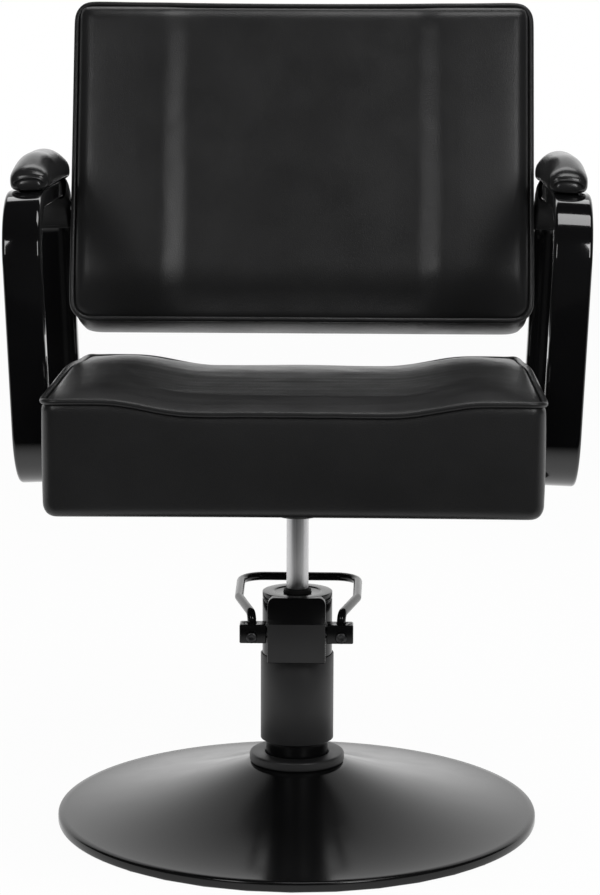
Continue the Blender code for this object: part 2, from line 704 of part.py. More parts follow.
# Foot pedal
def make_pedal():
    axis = empty("pedal_axis", (0, shaft_y, shaft_z))
    across = (0, math.pi / 2, 0)
    shaft_half = block_start + SHAFT_ENGAGE
    shaft = rod_form(SHAFT_RADIUS, 2 * shaft_half, ROUND_SIDES)
    add_part("pedal_shaft", shaft, plain_steel, axis, rotation=across)
    half = BLOCK_SIZE / 2
    for side, label in ((-1, "left"), (1, "right")):
        outline = [(-half, -half), (half, -half), (half, half), (-half, half)]
        ends = sorted((side * block_start, side * (block_start + BLOCK_LENGTH)))
        block = add_part(f"pedal_block_{label}", slab(outline, *ends, sideways), satin_black, axis)
        bevel = block.modifiers.new("edges", "BEVEL")
        bevel.width = BLOCK_EDGE
        bevel.segments = 1
        bar_x = side * bar_root
        bar_hole = rod_form(BAR_RADIUS + CLEAR, BAR_SINK + CLEAR + BLOCK_SIZE)
        add_cutter(f"cut_block_bar_{label}", bar_hole, [block], parent=axis,
                   location=(bar_x, 0, (BLOCK_SIZE - BAR_SINK - CLEAR) / 2))
        shaft_hole = rod_form(SHAFT_RADIUS + CLEAR, 2 * (shaft_half + CLEAR), ROUND_SIDES)
        add_cutter(f"cut_block_shaft_{label}", shaft_hole, [block], parent=axis, rotation=across)
        grub_length = half - BAR_RADIUS - CLEAR
        seat = (bar_x, -half - CLEAR, -GRUB_DROP)
        turn_in = (-math.pi / 2, 0, 0)
        add_part(f"pedal_set_screw_{label}", bolt_form(GRUB_HEAD_RADIUS, GRUB_HEAD, GRUB_RADIUS, grub_length),
                 zinc, axis, seat, turn_in)
        screw_hole = rod_form(GRUB_RADIUS + CLEAR, BLOCK_SIZE)
        add_cutter(f"cut_block_screw_{label}", screw_hole, [block], parent=axis,
                   location=(bar_x, -half, -GRUB_DROP), rotation=turn_in)
    right = [(bar_root, 0, -BAR_SINK), (bar_root, 0, BAR_RISE),
             (BAR_WAIST, BAR_WAIST_REACH, BAR_RISE + BAR_TILT / 2),
             (BAR_HALF, BAR_REACH, BAR_RISE + BAR_TILT)]
    left = [(-x, y, z) for x, y, z in reversed(right)]
    bends = [0, BAR_NECK_BEND, BAR_SWEEP, BAR_BEND]
    path = filleted(right + left, bends + bends[::-1], closed=False)
    tube_part("pedal_bar", path, BAR_RADIUS, satin_black, 2, parent=axis)
    make_rocker(axis)


def make_rocker(axis):
    """Lever on the pedal shaft that presses the pump plunger."""
    reach = -shaft_y - plunger_offset + ROCKER_TIP
    start = math.asin(ROCKER_TOP / rocker_hub)
    sweep = 1.5 * math.pi - start
    steps = ROUND_SIDES // 2
    outline = []
    for step in range(steps + 1):
        angle = start + sweep * step / steps
        outline.append((rocker_hub * math.cos(angle), rocker_hub * math.sin(angle)))
    outline += [(reach, -rocker_hub), (reach, ROCKER_TOP)]
    lever = slab(outline, -ROCKER_WIDTH / 2, ROCKER_WIDTH / 2, sideways)
    rocker = add_part("pedal_rocker", lever, plain_steel, axis)
    bore = rod_form(SHAFT_RADIUS + CLEAR, 2 * ROCKER_WIDTH, ROUND_SIDES)
    add_cutter("cut_rocker_bore", bore, [rocker], parent=axis, rotation=(0, math.pi / 2, 0))


def make_pump_element():
    """Small pump beside the main cylinder: barrel, plunger and return spring."""
    spot = (0, -plunger_offset, 0)
    bottom = barrel_shelf + CLEAR
    well = barrel_top - PLUNGER_DEPTH
    barrel = [(0, bottom), (BARREL_RADIUS, bottom), (BARREL_RADIUS, barrel_top),
              (PLUNGER_RADIUS + CLEAR, barrel_top), (PLUNGER_RADIUS + CLEAR, well), (0, well)]
    add_part("pump_barrel", turned(barrel, ROUND_SIDES // 2), plain_steel, location=spot)
    head_low = plunger_top - PLUNGER_HEAD
    tip = barrel_top - PLUNGER_DEPTH / 2
    plunger = [(0, tip), (PLUNGER_RADIUS, tip), (PLUNGER_RADIUS, head_low), (PLUNGER_HEAD_RADIUS, head_low),
               (PLUNGER_HEAD_RADIUS, plunger_top), (0, plunger_top)]
    add_part("pump_plunger", turned(plunger, ROUND_SIDES // 2), bright_steel, location=spot)
    coil_radius = PLUNGER_HEAD_RADIUS - SPRING_WIRE - CLEAR
    low = barrel_top + CLEAR + SPRING_WIRE
    rise = SPRING_LENGTH - CLEAR - 2 * SPRING_WIRE
    count = SPRING_TURNS * SPRING_STEPS
    points = []
    for step in range(count + 1):
        angle = 2 * math.pi * step / SPRING_STEPS
        points.append(Vector((coil_radius * math.cos(angle), coil_radius * math.sin(angle) - plunger_offset,
                              low + rise * step / count)))
    tube_part("plunger_spring", points, SPRING_WIRE, bright_steel, 1)
    gap = least_gap(points, SPRING_WIRE, SPRING_STEPS // 2)
    print(f"plunger_spring: least gap between turns {gap / MM:.2f} mm")


def make_piston():
    groove = bush_outer - SEAL_DEPTH - CLEAR
    skirt = bush_outer - CLEAR
    middle = (piston_top + piston_bottom) / 2
    low = middle - SEAL_HEIGHT / 2
    high = middle + SEAL_HEIGHT / 2
    pin_hole = ROD_PIN_RADIUS + CLEAR
    pin_end = piston_top - ROD_PIN_LENGTH - CLEAR
    profile = [(0, piston_bottom), (skirt, piston_bottom), (skirt, low - CLEAR), (groove, low - CLEAR),
               (groove, high + CLEAR), (skirt, high + CLEAR), (skirt, piston_top), (pin_hole, piston_top),
               (pin_hole, pin_end), (0, pin_end)]
    add_part("piston", turned(profile), plain_steel)
    add_part("piston_seal", turned(ring(groove + CLEAR, bush_outer, low, high)), rubber)


# Seat and what carries it
def make_rod_and_mount():
    foot = piston_top + CLEAR
    narrow = ROD_RADIUS - ROD_TAPER
    pin_end = piston_top - ROD_PIN_LENGTH
    rod = [(0, pin_end), (ROD_PIN_RADIUS, pin_end), (ROD_PIN_RADIUS, foot), (ROD_RADIUS, foot),
           (ROD_RADIUS, hub_bottom), (narrow, rod_top), (0, rod_top)]
    add_part("lift_rod", turned(rod), bright_steel)
    plate = slab(rounded_rectangle(MOUNT_HALF_X, MOUNT_HALF_Y, MOUNT_CORNER), mount_bottom, mount_top, flat)
    mount = add_part("seat_mount", plate, satin_black)
    hub_radius = ROD_RADIUS + CLEAR + HUB_WALL
    hub = turned([(0, hub_bottom), (hub_radius - ROD_TAPER, hub_bottom), (hub_radius, hub_bottom + ROD_TAPER),
                  (hub_radius, mount_top - HUB_ROOF / 2), (0, mount_top - HUB_ROOF / 2)])
    add_cutter("join_mount_hub", hub, [mount], "UNION")
    socket = turned([(0, hub_bottom - MOUNT_THICK), (ROD_RADIUS + CLEAR, hub_bottom - MOUNT_THICK),
                     (ROD_RADIUS + CLEAR, hub_bottom + CLEAR), (narrow + CLEAR, rod_top + CLEAR),
                     (0, rod_top + CLEAR)])
    add_cutter("cut_mount_socket", socket, [mount])
    return mount


def seat_height(grid):
    """Height of the seat panel: crowned, with a sunken middle along it, falling towards the rear."""
    def height(a, b):
        fall = SEAT_FALL * smooth_step(b / grid.half_b)
        return seat_edge_z + SEAT_CROWN * grid.dome(a, b, DOME_SOFT) - SEAT_SCOOP * channel(a) - fall
    return height


def make_seat(mount):
    middle = (SEAT_FRONT + SEAT_REAR) / 2
    half_b = (SEAT_REAR - SEAT_FRONT) / 2
    marks_a = channel_marks() + [SEAT_HALF - SHOULDER]
    marks_b = [0, half_b / 3, half_b - DOME_SOFT, half_b - SHOULDER]
    grid = PanelGrid(SEAT_HALF - WELT_NOTCH, half_b - WELT_NOTCH, SEAT_CORNER, marks_a, marks_b, SEAT_PULL)
    height = seat_height(grid)

    def place(a, b, c):
        return (a, b + middle, c)

    levels = [(WELT_NOTCH, lambda rim: rim - WELT_NOTCH),
              (WELT_NOTCH, lambda rim: SEAT_BOTTOM + SEAT_ROUND),
              (WELT_NOTCH - ARC_MIDDLE * SEAT_ROUND, lambda rim: SEAT_BOTTOM + ARC_MIDDLE * SEAT_ROUND),
              (WELT_NOTCH - SEAT_ROUND, lambda rim: SEAT_BOTTOM)]
    cushion = add_part("seat_cushion", padded_form(grid, height, levels, place), leatherette)
    tube_part("seat_welt", welt_path(grid, height, place), WELT_RADIUS, leatherette, 1, cyclic=True)

    def stand(a, b, c):
        return (a, c + middle, b + SEAT_BOTTOM)

    half_frame = SEAT_HALF - SEAT_SKIN
    half_run = half_b - SEAT_SKIN
    tray = channel_form(half_frame, half_run, RAIL_HEIGHT, RAIL_WIDTH, BOARD_THICK, 0, stand)
    frame = add_part("seat_frame", tray, plywood)
    pocket = channel_form(half_frame, half_run, RAIL_HEIGHT, RAIL_WIDTH, BOARD_THICK, CLEAR, stand)
    add_cutter("cut_seat_pocket", pocket, [cushion])
    edge = rounded_rectangle(SEAT_HALF - DUST_INSET, half_b - DUST_INSET, MOUNT_CORNER)
    sheet = slab([(a, b + middle) for a, b in edge], dust_top - DUST_THICK, dust_top, flat)
    dust = add_part("seat_dust_cover", sheet, dust_cloth)
    number = 0
    for side_x in (-1, 1):
        for side_y in (-1, 1):
            number += 1
            spot = (side_x * (MOUNT_HALF_X - MOUNT_BOLT_EDGE), side_y * (MOUNT_HALF_Y - MOUNT_BOLT_EDGE),
                    mount_bottom - CLEAR)
            length = SEAT_BOTTOM - mount_bottom + CLEAR + MOUNT_BOLT_GRIP
            bolt = bolt_form(MOUNT_BOLT_HEAD_RADIUS, MOUNT_BOLT_HEAD, MOUNT_BOLT_RADIUS, length)
            add_part(f"mount_bolt_{number}", bolt, zinc, location=spot)
            add_cutter(f"cut_mount_bolt_{number}", rod_form(MOUNT_BOLT_RADIUS + CLEAR, 2 * (length + CLEAR)),
                       [mount, dust, frame], location=spot)
    return cushion, frame


# Back
def make_back():
    tilt = empty("back_tilt", (0, BACK_Y, back_z), (-BACK_RECLINE, 0, 0))
    half_b = BACK_LENGTH / 2
    marks_b = [0, half_b / 3, half_b - DOME_SOFT]
    grid = PanelGrid(back_half - WELT_NOTCH, half_b - WELT_NOTCH, BACK_CORNER, channel_marks(), marks_b,
                     BACK_PULL)

    def height(a, b):
        return grid.dome(a, b, DOME_SOFT) * (BACK_CROWN - BACK_SCOOP * channel(a))

    def place(a, b, c):
        return (a, -c, b + half_b)

    levels = [(WELT_NOTCH, lambda rim: -WELT_NOTCH),
              (WELT_NOTCH - BACK_TAPER, lambda rim: WELT_NOTCH - BACK_THICK),
              (-BACK_TAPER, lambda rim: -BACK_THICK)]
    cushion = add_part("back_cushion", padded_form(grid, height, levels, place), leatherette, tilt)
    tube_part("back_front_welt", welt_path(grid, height, place), WELT_RADIUS, leatherette, 1, True, tilt)

    def rear_place(a, b, c):
        return (a, BACK_THICK + c, b + half_b)

    rear_welt = welt_path(grid, lambda a, b: 0, rear_place, BACK_TAPER)
    tube_part("back_rear_welt", rear_welt, WELT_RADIUS, leatherette, 1, True, tilt)
    depth = BACK_THICK - BACK_BOARD_INSET - BACK_FOAM

    def stand(a, b, c):
        return (a, BACK_THICK - BACK_BOARD_INSET - b, c + half_b)

    half_frame = back_half - BACK_SKIN
    half_run = half_b - BACK_SKIN
    tray = channel_form(half_frame, half_run, depth, BACK_RAIL_WIDTH, BACK_BOARD, 0, stand)
    frame = add_part("back_frame", tray, plywood, tilt)
    pocket = channel_form(half_frame, half_run, depth, BACK_RAIL_WIDTH, BACK_BOARD, CLEAR, stand)
    mouth = [v for v in pocket.verts if v.co.y > BACK_THICK - BACK_BOARD_INSET]
    bmesh.ops.translate(pocket, verts=mouth, vec=(0, 2 * BACK_BOARD_INSET, 0))
    add_cutter("cut_back_pocket", pocket, [cushion], parent=tilt)
    inset = WELT_NOTCH + BACK_TAPER
    panel_grid = PanelGrid(back_half - inset, half_b - inset, BACK_CORNER, [0, back_half / 2],
                           [0, half_b / 2], BACK_PULL)

    def panel_height(a, b):
        low = BACK_THICK + CLEAR + REAR_PANEL_THICK - REAR_PANEL_CROWN
        return low + REAR_PANEL_CROWN * panel_grid.dome(a, b, DOME_SOFT)

    def panel_place(a, b, c):
        return (a, c, b + half_b)

    panel_levels = [(0, lambda rim: BACK_THICK + CLEAR + REAR_PANEL_ROUND),
                    (0, lambda rim: BACK_THICK + CLEAR)]
    panel = padded_form(panel_grid, panel_height, panel_levels, panel_place)
    add_part("back_rear_panel", panel, leatherette, tilt)
    return cushion, frame


# Arms
def arm_path(offset):
    """Line of the arm loop in its own plane, moved outwards by offset."""
    front = arm_front_line - offset
    rear = arm_rear_line + offset
    corners = [(0, front, -offset), (0, rear, -offset), (0, rear, arm_top_line + offset),
               (0, front, arm_top_line + offset)]
    low = BEND_BOTTOM + offset
    high = BEND_TOP + offset
    return filleted(corners, [low, low, high, high])


def loop_form(section, middle_x):
    """Sweep a closed section of (across, outwards) points round the arm's line."""
    bm = bmesh.new()
    rings = []
    for across, outwards in section:
        rings.append([bm.verts.new((middle_x + across, point.y, point.z)) for point in arm_path(outwards)])
    for first, second in zip(rings, rings[1:] + rings[:1]):
        for k in range(len(first)):
            following = (k + 1) % len(first)
            bm.faces.new([first[k], first[following], second[following], second[k]])
    return bm


def tube_section(half_width, half_depth, edge):
    """Section of the arm tube, with its long edges eased by one facet."""
    corners = [(-1, -1), (1, -1), (1, 1), (-1, 1)]
    points = []
    for index, (a, b) in enumerate(corners):
        along = [(a * half_width, b * (half_depth - edge)), (a * (half_width - edge), b * half_depth)]
        points += along if index % 2 == 0 else along[::-1]
    return points


def arm_bolt_places():
    """Places of an arm's bolts in its plane, with the gap from the tube to what each one holds."""
    bend = Vector((arm_rear_line - BEND_TOP, arm_top_line - BEND_TOP))
    high = bend + BEND_TOP * Vector((math.cos(BACK_BOLT_TURN), math.sin(BACK_BOLT_TURN)))
    places = [("seat_front", SEAT_BOLT_FRONT, 0, ARM_GAP), ("seat_rear", SEAT_BOLT_REAR, 0, ARM_GAP)]
    for label, y, z in (("back_low", arm_rear_line, back_bolt_low), ("back_high", high.x, high.y)):
        places.append((label, y, z, arm_inner + math.tan(ARM_FLARE) * z - back_side(y, z + arm_axis_z)))
    return places


def back_side(y, z):
    """Half width of the back's tapered side band at a place in the chair."""
    depth = (y - BACK_Y) * math.cos(BACK_RECLINE) - (z - back_z) * math.sin(BACK_RECLINE)
    return back_half - BACK_TAPER * depth / BACK_THICK


def make_arm(side, label, seat_pieces, back_pieces):
    plane = empty(f"arm_plane_{label}", (side * arm_inner, 0, arm_axis_z), (0, side * ARM_FLARE, 0))
    middle_x = side * TUBE_WIDTH / 2
    half_width = TUBE_WIDTH / 2
    half_depth = TUBE_DEPTH / 2
    loop = loop_form(tube_section(half_width, half_depth, TUBE_EDGE), middle_x)
    frame = add_part(f"arm_frame_{label}", loop, gloss_black, plane)
    inward = (0, -side * math.pi / 2, 0)
    for name, y, z, gap in arm_bolt_places():
        boss_length = gap - BOSS_CLEAR + TUBE_WALL / 2
        boss_x = side * (TUBE_WALL / 2 - boss_length / 2)
        boss = rod_form(BOSS_RADIUS, boss_length)
        add_cutter(f"join_arm_boss_{name}_{label}", boss, [frame], "UNION", plane, (boss_x, y, z), inward)
    bore = half_width - TUBE_WALL
    depth = half_depth - TUBE_WALL
    hollow = [(-bore, -depth), (bore, -depth), (bore, depth), (-bore, depth)]
    add_cutter(f"cut_arm_bore_{label}", loop_form(hollow, middle_x), [frame], parent=plane)
    for name, y, z, gap in arm_bolt_places():
        holds_seat = name.startswith("seat")
        skin = SEAT_SKIN if holds_seat else BACK_SKIN
        length = TUBE_WIDTH + CLEAR + gap + skin + ARM_BOLT_GRIP
        spot = (side * (TUBE_WIDTH + CLEAR), y, z)
        bolt = bolt_form(ARM_BOLT_HEAD_RADIUS, ARM_BOLT_HEAD, ARM_BOLT_RADIUS, length)
        add_part(f"arm_bolt_{name}_{label}", bolt, zinc, plane, spot, inward)
        add_cutter(f"cut_arm_bolt_{name}_{label}", rod_form(ARM_BOLT_RADIUS + CLEAR, 2 * (length + CLEAR)),
                   [frame, *(seat_pieces if holds_seat else back_pieces)], parent=plane, location=spot,
                   rotation=inward)
    make_pad(plane, middle_x - side * PAD_SHIFT, label, frame)


def make_pad(plane, middle_x, label, frame):
    """Arm pad: a wooden strip screwed to the tube from below, and a padded top over it."""
    top = arm_top_line + TUBE_DEPTH / 2
    strip_low = top + CLEAR
    strip_top = strip_low + STRIP_THICK
    middle = (PAD_FRONT + PAD_REAR) / 2
    half_run = (PAD_REAR - PAD_FRONT) / 2
    outline = [(a + middle_x, b + middle) for a, b in
               rounded_rectangle(STRIP_HALF, half_run - STRIP_INSET, STRIP_HALF / 2)]
    strip = add_part(f"pad_strip_{label}", slab(outline, strip_low, strip_top, flat), plywood, plane)
    pad_low = strip_top + CLEAR
    grid = PanelGrid(PAD_HALF, half_run, PAD_CORNER, [0], [0, half_run / 2, half_run - PAD_HALF])

    def height(a, b):
        return pad_low + PAD_EDGE + PAD_CROWN * grid.dome(a, b, PAD_HALF)

    def place(a, b, c):
        return (a + middle_x, b + middle, c)

    levels = [(0, lambda rim: pad_low + PAD_ROUND),
              (-ARC_MIDDLE * PAD_TUCK, lambda rim: pad_low + ARC_MIDDLE * PAD_ROUND),
              (-PAD_TUCK, lambda rim: pad_low)]
    add_part(f"arm_pad_{label}", padded_form(grid, height, levels, place), leatherette, plane)
    under = arm_top_line - TUBE_DEPTH / 2 - CLEAR
    length = TUBE_DEPTH + 2 * CLEAR + PAD_SCREW_GRIP
    for end, y in (("front", middle - PAD_SCREW_INSET), ("rear", middle + PAD_SCREW_INSET)):
        spot = (middle_x, y, under)
        screw = bolt_form(PAD_SCREW_HEAD_RADIUS, PAD_SCREW_HEAD, PAD_SCREW_RADIUS, length)
        add_part(f"pad_screw_{end}_{label}", screw, zinc, plane, spot)
        add_cutter(f"cut_pad_screw_{end}_{label}", rod_form(PAD_SCREW_RADIUS + CLEAR, 2 * (length + CLEAR)),
                   [frame, strip], parent=plane, location=spot)


base_plate = make_base()
housing = make_pump_body()
make_foot_bolts(base_plate, housing)
make_front_box()
make_pedal()
make_pump_element()
make_piston()
seat_mount = make_rod_and_mount()
seat_pieces = make_seat(seat_mount)
back_pieces = make_back()
make_arm(-1, "left", seat_pieces, back_pieces)
make_arm(1, "right", seat_pieces, back_pieces)
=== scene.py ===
# %% [markdown]
# # A hairdressing chair, dressed piece by piece
# The engineering model is loaded first and stays as a fixed frame: every body, joint and size is already
# in it. The lesson then gives the chair its looks. Turned and pressed metal is modelled with edit-mode
# tools, upholstery is blown up as cloth, and each finish is built from nodes.

# %% Load the frame
import math

import bmesh
import bpy
from mathutils import Matrix, Vector, bvhtree, kdtree, noise


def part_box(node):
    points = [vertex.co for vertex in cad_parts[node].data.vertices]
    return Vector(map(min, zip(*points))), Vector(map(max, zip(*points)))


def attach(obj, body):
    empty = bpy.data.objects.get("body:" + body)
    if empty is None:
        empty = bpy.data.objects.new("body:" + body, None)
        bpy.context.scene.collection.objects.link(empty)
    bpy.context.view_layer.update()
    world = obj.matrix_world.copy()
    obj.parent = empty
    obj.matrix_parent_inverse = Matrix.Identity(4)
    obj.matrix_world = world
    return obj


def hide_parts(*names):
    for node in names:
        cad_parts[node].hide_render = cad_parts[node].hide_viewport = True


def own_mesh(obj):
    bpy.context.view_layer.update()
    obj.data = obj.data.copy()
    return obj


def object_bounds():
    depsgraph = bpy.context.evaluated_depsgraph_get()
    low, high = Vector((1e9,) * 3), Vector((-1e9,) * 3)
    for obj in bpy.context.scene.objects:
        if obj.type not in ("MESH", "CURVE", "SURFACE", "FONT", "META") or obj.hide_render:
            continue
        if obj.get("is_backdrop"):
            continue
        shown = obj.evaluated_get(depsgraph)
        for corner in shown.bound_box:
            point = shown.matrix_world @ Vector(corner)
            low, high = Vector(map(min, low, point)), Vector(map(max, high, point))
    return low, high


MM = 0.001
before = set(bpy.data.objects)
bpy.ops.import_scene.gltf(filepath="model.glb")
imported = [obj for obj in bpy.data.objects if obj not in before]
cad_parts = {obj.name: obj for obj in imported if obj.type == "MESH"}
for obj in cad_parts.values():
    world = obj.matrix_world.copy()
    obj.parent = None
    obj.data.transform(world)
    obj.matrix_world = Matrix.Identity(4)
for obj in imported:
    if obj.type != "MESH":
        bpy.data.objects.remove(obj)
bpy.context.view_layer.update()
bpy.ops.object.select_all(action="DESELECT")

# %% [markdown]
# ## Camera
# The photograph was taken from a little above the seat, almost straight at the front of the chair, which
# stands turned by about a degree. A long lens from 2.8 metres keeps the round base a flat ellipse and the
# arms nearly upright, as they are in it.

# %% Camera
distance, height = 2.8, 0.877
orbit, pitch, roll = math.radians(1.2), math.radians(80.57), math.radians(0.2)
bpy.ops.object.camera_add(location=(distance * math.sin(orbit), -distance * math.cos(orbit), height))
camera = bpy.context.active_object
aim = Matrix.Rotation(orbit, 3, "Z") @ Matrix.Rotation(pitch, 3, "X") @ Matrix.Rotation(roll, 3, "Z")
camera.rotation_euler = aim.to_euler()
camera.data.lens = 105.66
camera.data.sensor_width = 36
camera.data.shift_x = 0.0023
bpy.context.scene.camera = camera
bpy.context.scene.view_settings.view_transform = "Standard"
print("camera lens:", round(camera.data.lens, 1), "mm")

# %% [markdown]
# ## Floor
# A pale floor keeps the shadow of the chair. Its paper is white to the camera and in reflections, where a
# part of its brightness comes from a plain white glow, and the rest from the lamps, so a shadow still shows.
# Towards the camera the paper runs out into the dark of the room, which keeps the fronts of black pieces
# black.

# %% Floor
bpy.ops.mesh.primitive_plane_add(size=14)
floor = bpy.context.active_object
floor.name = "studio_floor"
floor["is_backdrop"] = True


def either(tree, first, second):
    """The higher of two sockets."""
    highest = tree.nodes.new("ShaderNodeMath")
    highest.operation = "MAXIMUM"
    tree.links.new(first, highest.inputs[0])
    tree.links.new(second, highest.inputs[1])
    return highest.outputs[0]


def ramp_along(tree, source, start, end, low, high):
    """A soft change from low to high as the source goes from start to end."""
    change = tree.nodes.new("ShaderNodeMapRange")
    change.interpolation_type = "SMOOTHSTEP"
    change.inputs["From Min"].default_value = start
    change.inputs["From Max"].default_value = end
    change.inputs["To Min"].default_value = low
    change.inputs["To Max"].default_value = high
    tree.links.new(source, change.inputs["Value"])
    return change.outputs["Result"]


def times(tree, first, second):
    """The product of two sockets."""
    product = tree.nodes.new("ShaderNodeMath")
    product.operation = "MULTIPLY"
    tree.links.new(first, product.inputs[0])
    tree.links.new(second, product.inputs[1])
    return product.outputs[0]


def one_axis(tree, socket, axis):
    """One part of a coordinate: Y runs from the front of the chair to its rear, Z upwards."""
    split = tree.nodes.new("ShaderNodeSeparateXYZ")
    tree.links.new(tree.nodes.new("ShaderNodeTexCoord").outputs[socket], split.inputs[0])
    return split.outputs[axis]


paper = bpy.data.materials.new("studio_paper")
paper.use_nodes = True
paper_tree = paper.node_tree
paper_shader = paper_tree.nodes["Principled BSDF"]
paper_shader.inputs["Base Color"].default_value = (0.9, 0.9, 0.9, 1)
paper_shader.inputs["Roughness"].default_value = 0.9
paper_shader.inputs["Specular IOR Level"].default_value = 0.0
glow = paper_tree.nodes.new("ShaderNodeEmission")
rays = paper_tree.nodes.new("ShaderNodeLightPath")
mirrored = either(paper_tree, rays.outputs["Is Glossy Ray"], rays.outputs["Is Transmission Ray"])
dark_until, white_from = -1.0, -0.25
near = ramp_along(paper_tree, one_axis(paper_tree, "Object", "Y"), dark_until, white_from, 0.0, 0.9)
paper_tree.links.new(either(paper_tree, rays.outputs["Is Camera Ray"], times(paper_tree, mirrored, near)),
                     glow.inputs["Strength"])
paper_glow = 0.96
straight = ramp_along(paper_tree, rays.outputs["Is Camera Ray"], 0.0, 1.0, 0.0, paper_glow)
share = either(paper_tree, straight, mirrored)
blend_paper = paper_tree.nodes.new("ShaderNodeMixShader")
paper_tree.links.new(share, blend_paper.inputs[0])
paper_tree.links.new(paper_shader.outputs[0], blend_paper.inputs[1])
paper_tree.links.new(glow.outputs[0], blend_paper.inputs[2])
paper_tree.links.new(blend_paper.outputs[0], paper_tree.nodes["Material Output"].inputs["Surface"])
floor.data.materials.append(paper)
print("floor:", floor.name)

# %% [markdown]
# ## Studio light
# Black enamel shows little but what it mirrors. The room therefore has a white wall behind the chair, which
# fades towards the ceiling, and is dark in front. This leaves the fronts of the arms black and draws thin
# bright lines along their edges. Soft lamps model the cushions: two in front, one above and one behind.

# %% Studio light
world = bpy.data.worlds.new("studio_room")
bpy.context.scene.world = world
world.use_nodes = True
room = world.node_tree
rays = room.nodes.new("ShaderNodeLightPath")
mirrored = either(room, rays.outputs["Is Glossy Ray"], rays.outputs["Is Transmission Ray"])
front_wall, rear_wall, room_light = 0.03, 1.1, 0.4
walls = ramp_along(room, one_axis(room, "Generated", "Y"), 0.42, 0.68, front_wall, rear_wall)
upward = ramp_along(room, one_axis(room, "Generated", "Z"), 0.25, 0.8, 1.0, 0.4)
ambient = ramp_along(room, rays.outputs["Is Diffuse Ray"], 0.0, 1.0, 0.0, room_light)
reflected = times(room, mirrored, times(room, walls, upward))
strength = either(room, either(room, rays.outputs["Is Camera Ray"], ambient), reflected)
room.links.new(strength, room.nodes["Background"].inputs["Strength"])
room.nodes["Background"].inputs["Color"].default_value = (1, 1, 1, 1)


def soft_lamp(name, place, aim, width, depth, watts):
    """A rectangular studio lamp that looks at a point."""
    bpy.ops.object.light_add(type="AREA", location=place)
    lamp = bpy.context.active_object
    lamp.name = name
    lamp.rotation_euler = (Vector(aim) - Vector(place)).to_track_quat("-Z", "Y").to_euler()
    lamp.data.shape = "RECTANGLE"
    lamp.data.size = width
    lamp.data.size_y = depth
    lamp.data.energy = watts


soft_lamp("lamp_above", (0.55, -0.4, 2.7), (0.55, -0.4, 0), 1.5, 0.8, 20)
soft_lamp("lamp_behind", (0.0, 1.2, 2.3), (0, 0, 0.6), 1.8, 0.5, 8)
soft_lamp("lamp_left", (-1.15, -1.9, 1.6), (0, 0, 0.6), 0.45, 0.9, 9)
soft_lamp("lamp_right", (1.1, -1.9, 1.6), (0, 0, 0.6), 0.55, 0.9, 14)

# %% [markdown]
# ## Finishes
# Every finish starts from noise measured on the piece itself, in metres, so its grain has a real size.
# Small helpers carry them: one makes a noise, one spreads it between two numbers for a socket, one tints
# the finish with it, and one turns it into relief.


# %% Helpers for finishes
def new_finish(name):
    """An empty finish: its node tree and the shader in it."""
    finish = bpy.data.materials.new(name)
    finish.use_nodes = True
    return finish, finish.node_tree, finish.node_tree.nodes["Principled BSDF"]


def grain(tree, scale, stretch=(1, 1, 1), detail=4.0, kind="ShaderNodeTexNoise"):
    """A noise on Object coordinates: scale is about how many blotches fit in a metre."""
    place = tree.nodes.new("ShaderNodeTexCoord")
    mapping = tree.nodes.new("ShaderNodeMapping")
    mapping.inputs["Scale"].default_value = stretch
    tree.links.new(place.outputs["Object"], mapping.inputs["Vector"])
    made = tree.nodes.new(kind)
    made.inputs["Scale"].default_value = scale
    if "Detail" in made.inputs:
        made.inputs["Detail"].default_value = detail
    tree.links.new(mapping.outputs["Vector"], made.inputs["Vector"])
    return made.outputs["Fac"] if "Fac" in made.outputs else made.outputs["Distance"]


def spread(tree, source, low, high, socket):
    """Send a noise to a socket as a number between low and high."""
    span = tree.nodes.new("ShaderNodeMapRange")
    span.inputs["From Min"].default_value = 0.3
    span.inputs["From Max"].default_value = 0.7
    span.inputs["To Min"].default_value = low
    span.inputs["To Max"].default_value = high
    tree.links.new(source, span.inputs["Value"])
    tree.links.new(span.outputs["Result"], socket)


def tint(tree, source, dark, light, shader):
    """Colour the shader between a darker and a lighter tone of one finish."""
    ramp = tree.nodes.new("ShaderNodeValToRGB")
    ramp.color_ramp.elements[0].position = 0.3
    ramp.color_ramp.elements[0].color = (*dark, 1)
    ramp.color_ramp.elements[1].position = 0.7
    ramp.color_ramp.elements[1].color = (*light, 1)
    tree.links.new(source, ramp.inputs["Fac"])
    tree.links.new(ramp.outputs["Color"], shader.inputs["Base Color"])


def relief(tree, source, height, strength, shader, under=None):
    """Raise and sink the surface by a noise, on top of an earlier relief if there is one."""
    bump = tree.nodes.new("ShaderNodeBump")
    bump.inputs["Distance"].default_value = height
    bump.inputs["Strength"].default_value = strength
    tree.links.new(source, bump.inputs["Height"])
    if under:
        tree.links.new(under.outputs["Normal"], bump.inputs["Normal"])
    tree.links.new(bump.outputs["Normal"], shader.inputs["Normal"])
    return bump


print("helpers ready")

# %% [markdown]
# ### Leatherette
# The covers are black vinyl on cloth, with a fine pebble grain of about a millimetre and a dull sheen.
# Cells from a Voronoi pattern make the pebbles, a finer noise roughens them, and a broad noise lets the
# gloss wander a little, as it does where hands have rubbed the vinyl.

# %% Leatherette
leatherette, tree, shader = new_finish("black_leatherette")
tint(tree, grain(tree, 9), (0.0115, 0.0115, 0.0118), (0.015, 0.015, 0.0154), shader)
spread(tree, grain(tree, 26), 0.28, 0.35, shader.inputs["Roughness"])
shader.inputs["Specular IOR Level"].default_value = 0.34
pebbles = relief(tree, grain(tree, 780, kind="ShaderNodeTexVoronoi"), 0.00025, 0.3, shader)
relief(tree, grain(tree, 2300), 0.0001, 0.25, shader, pebbles)
print("finish:", leatherette.name)

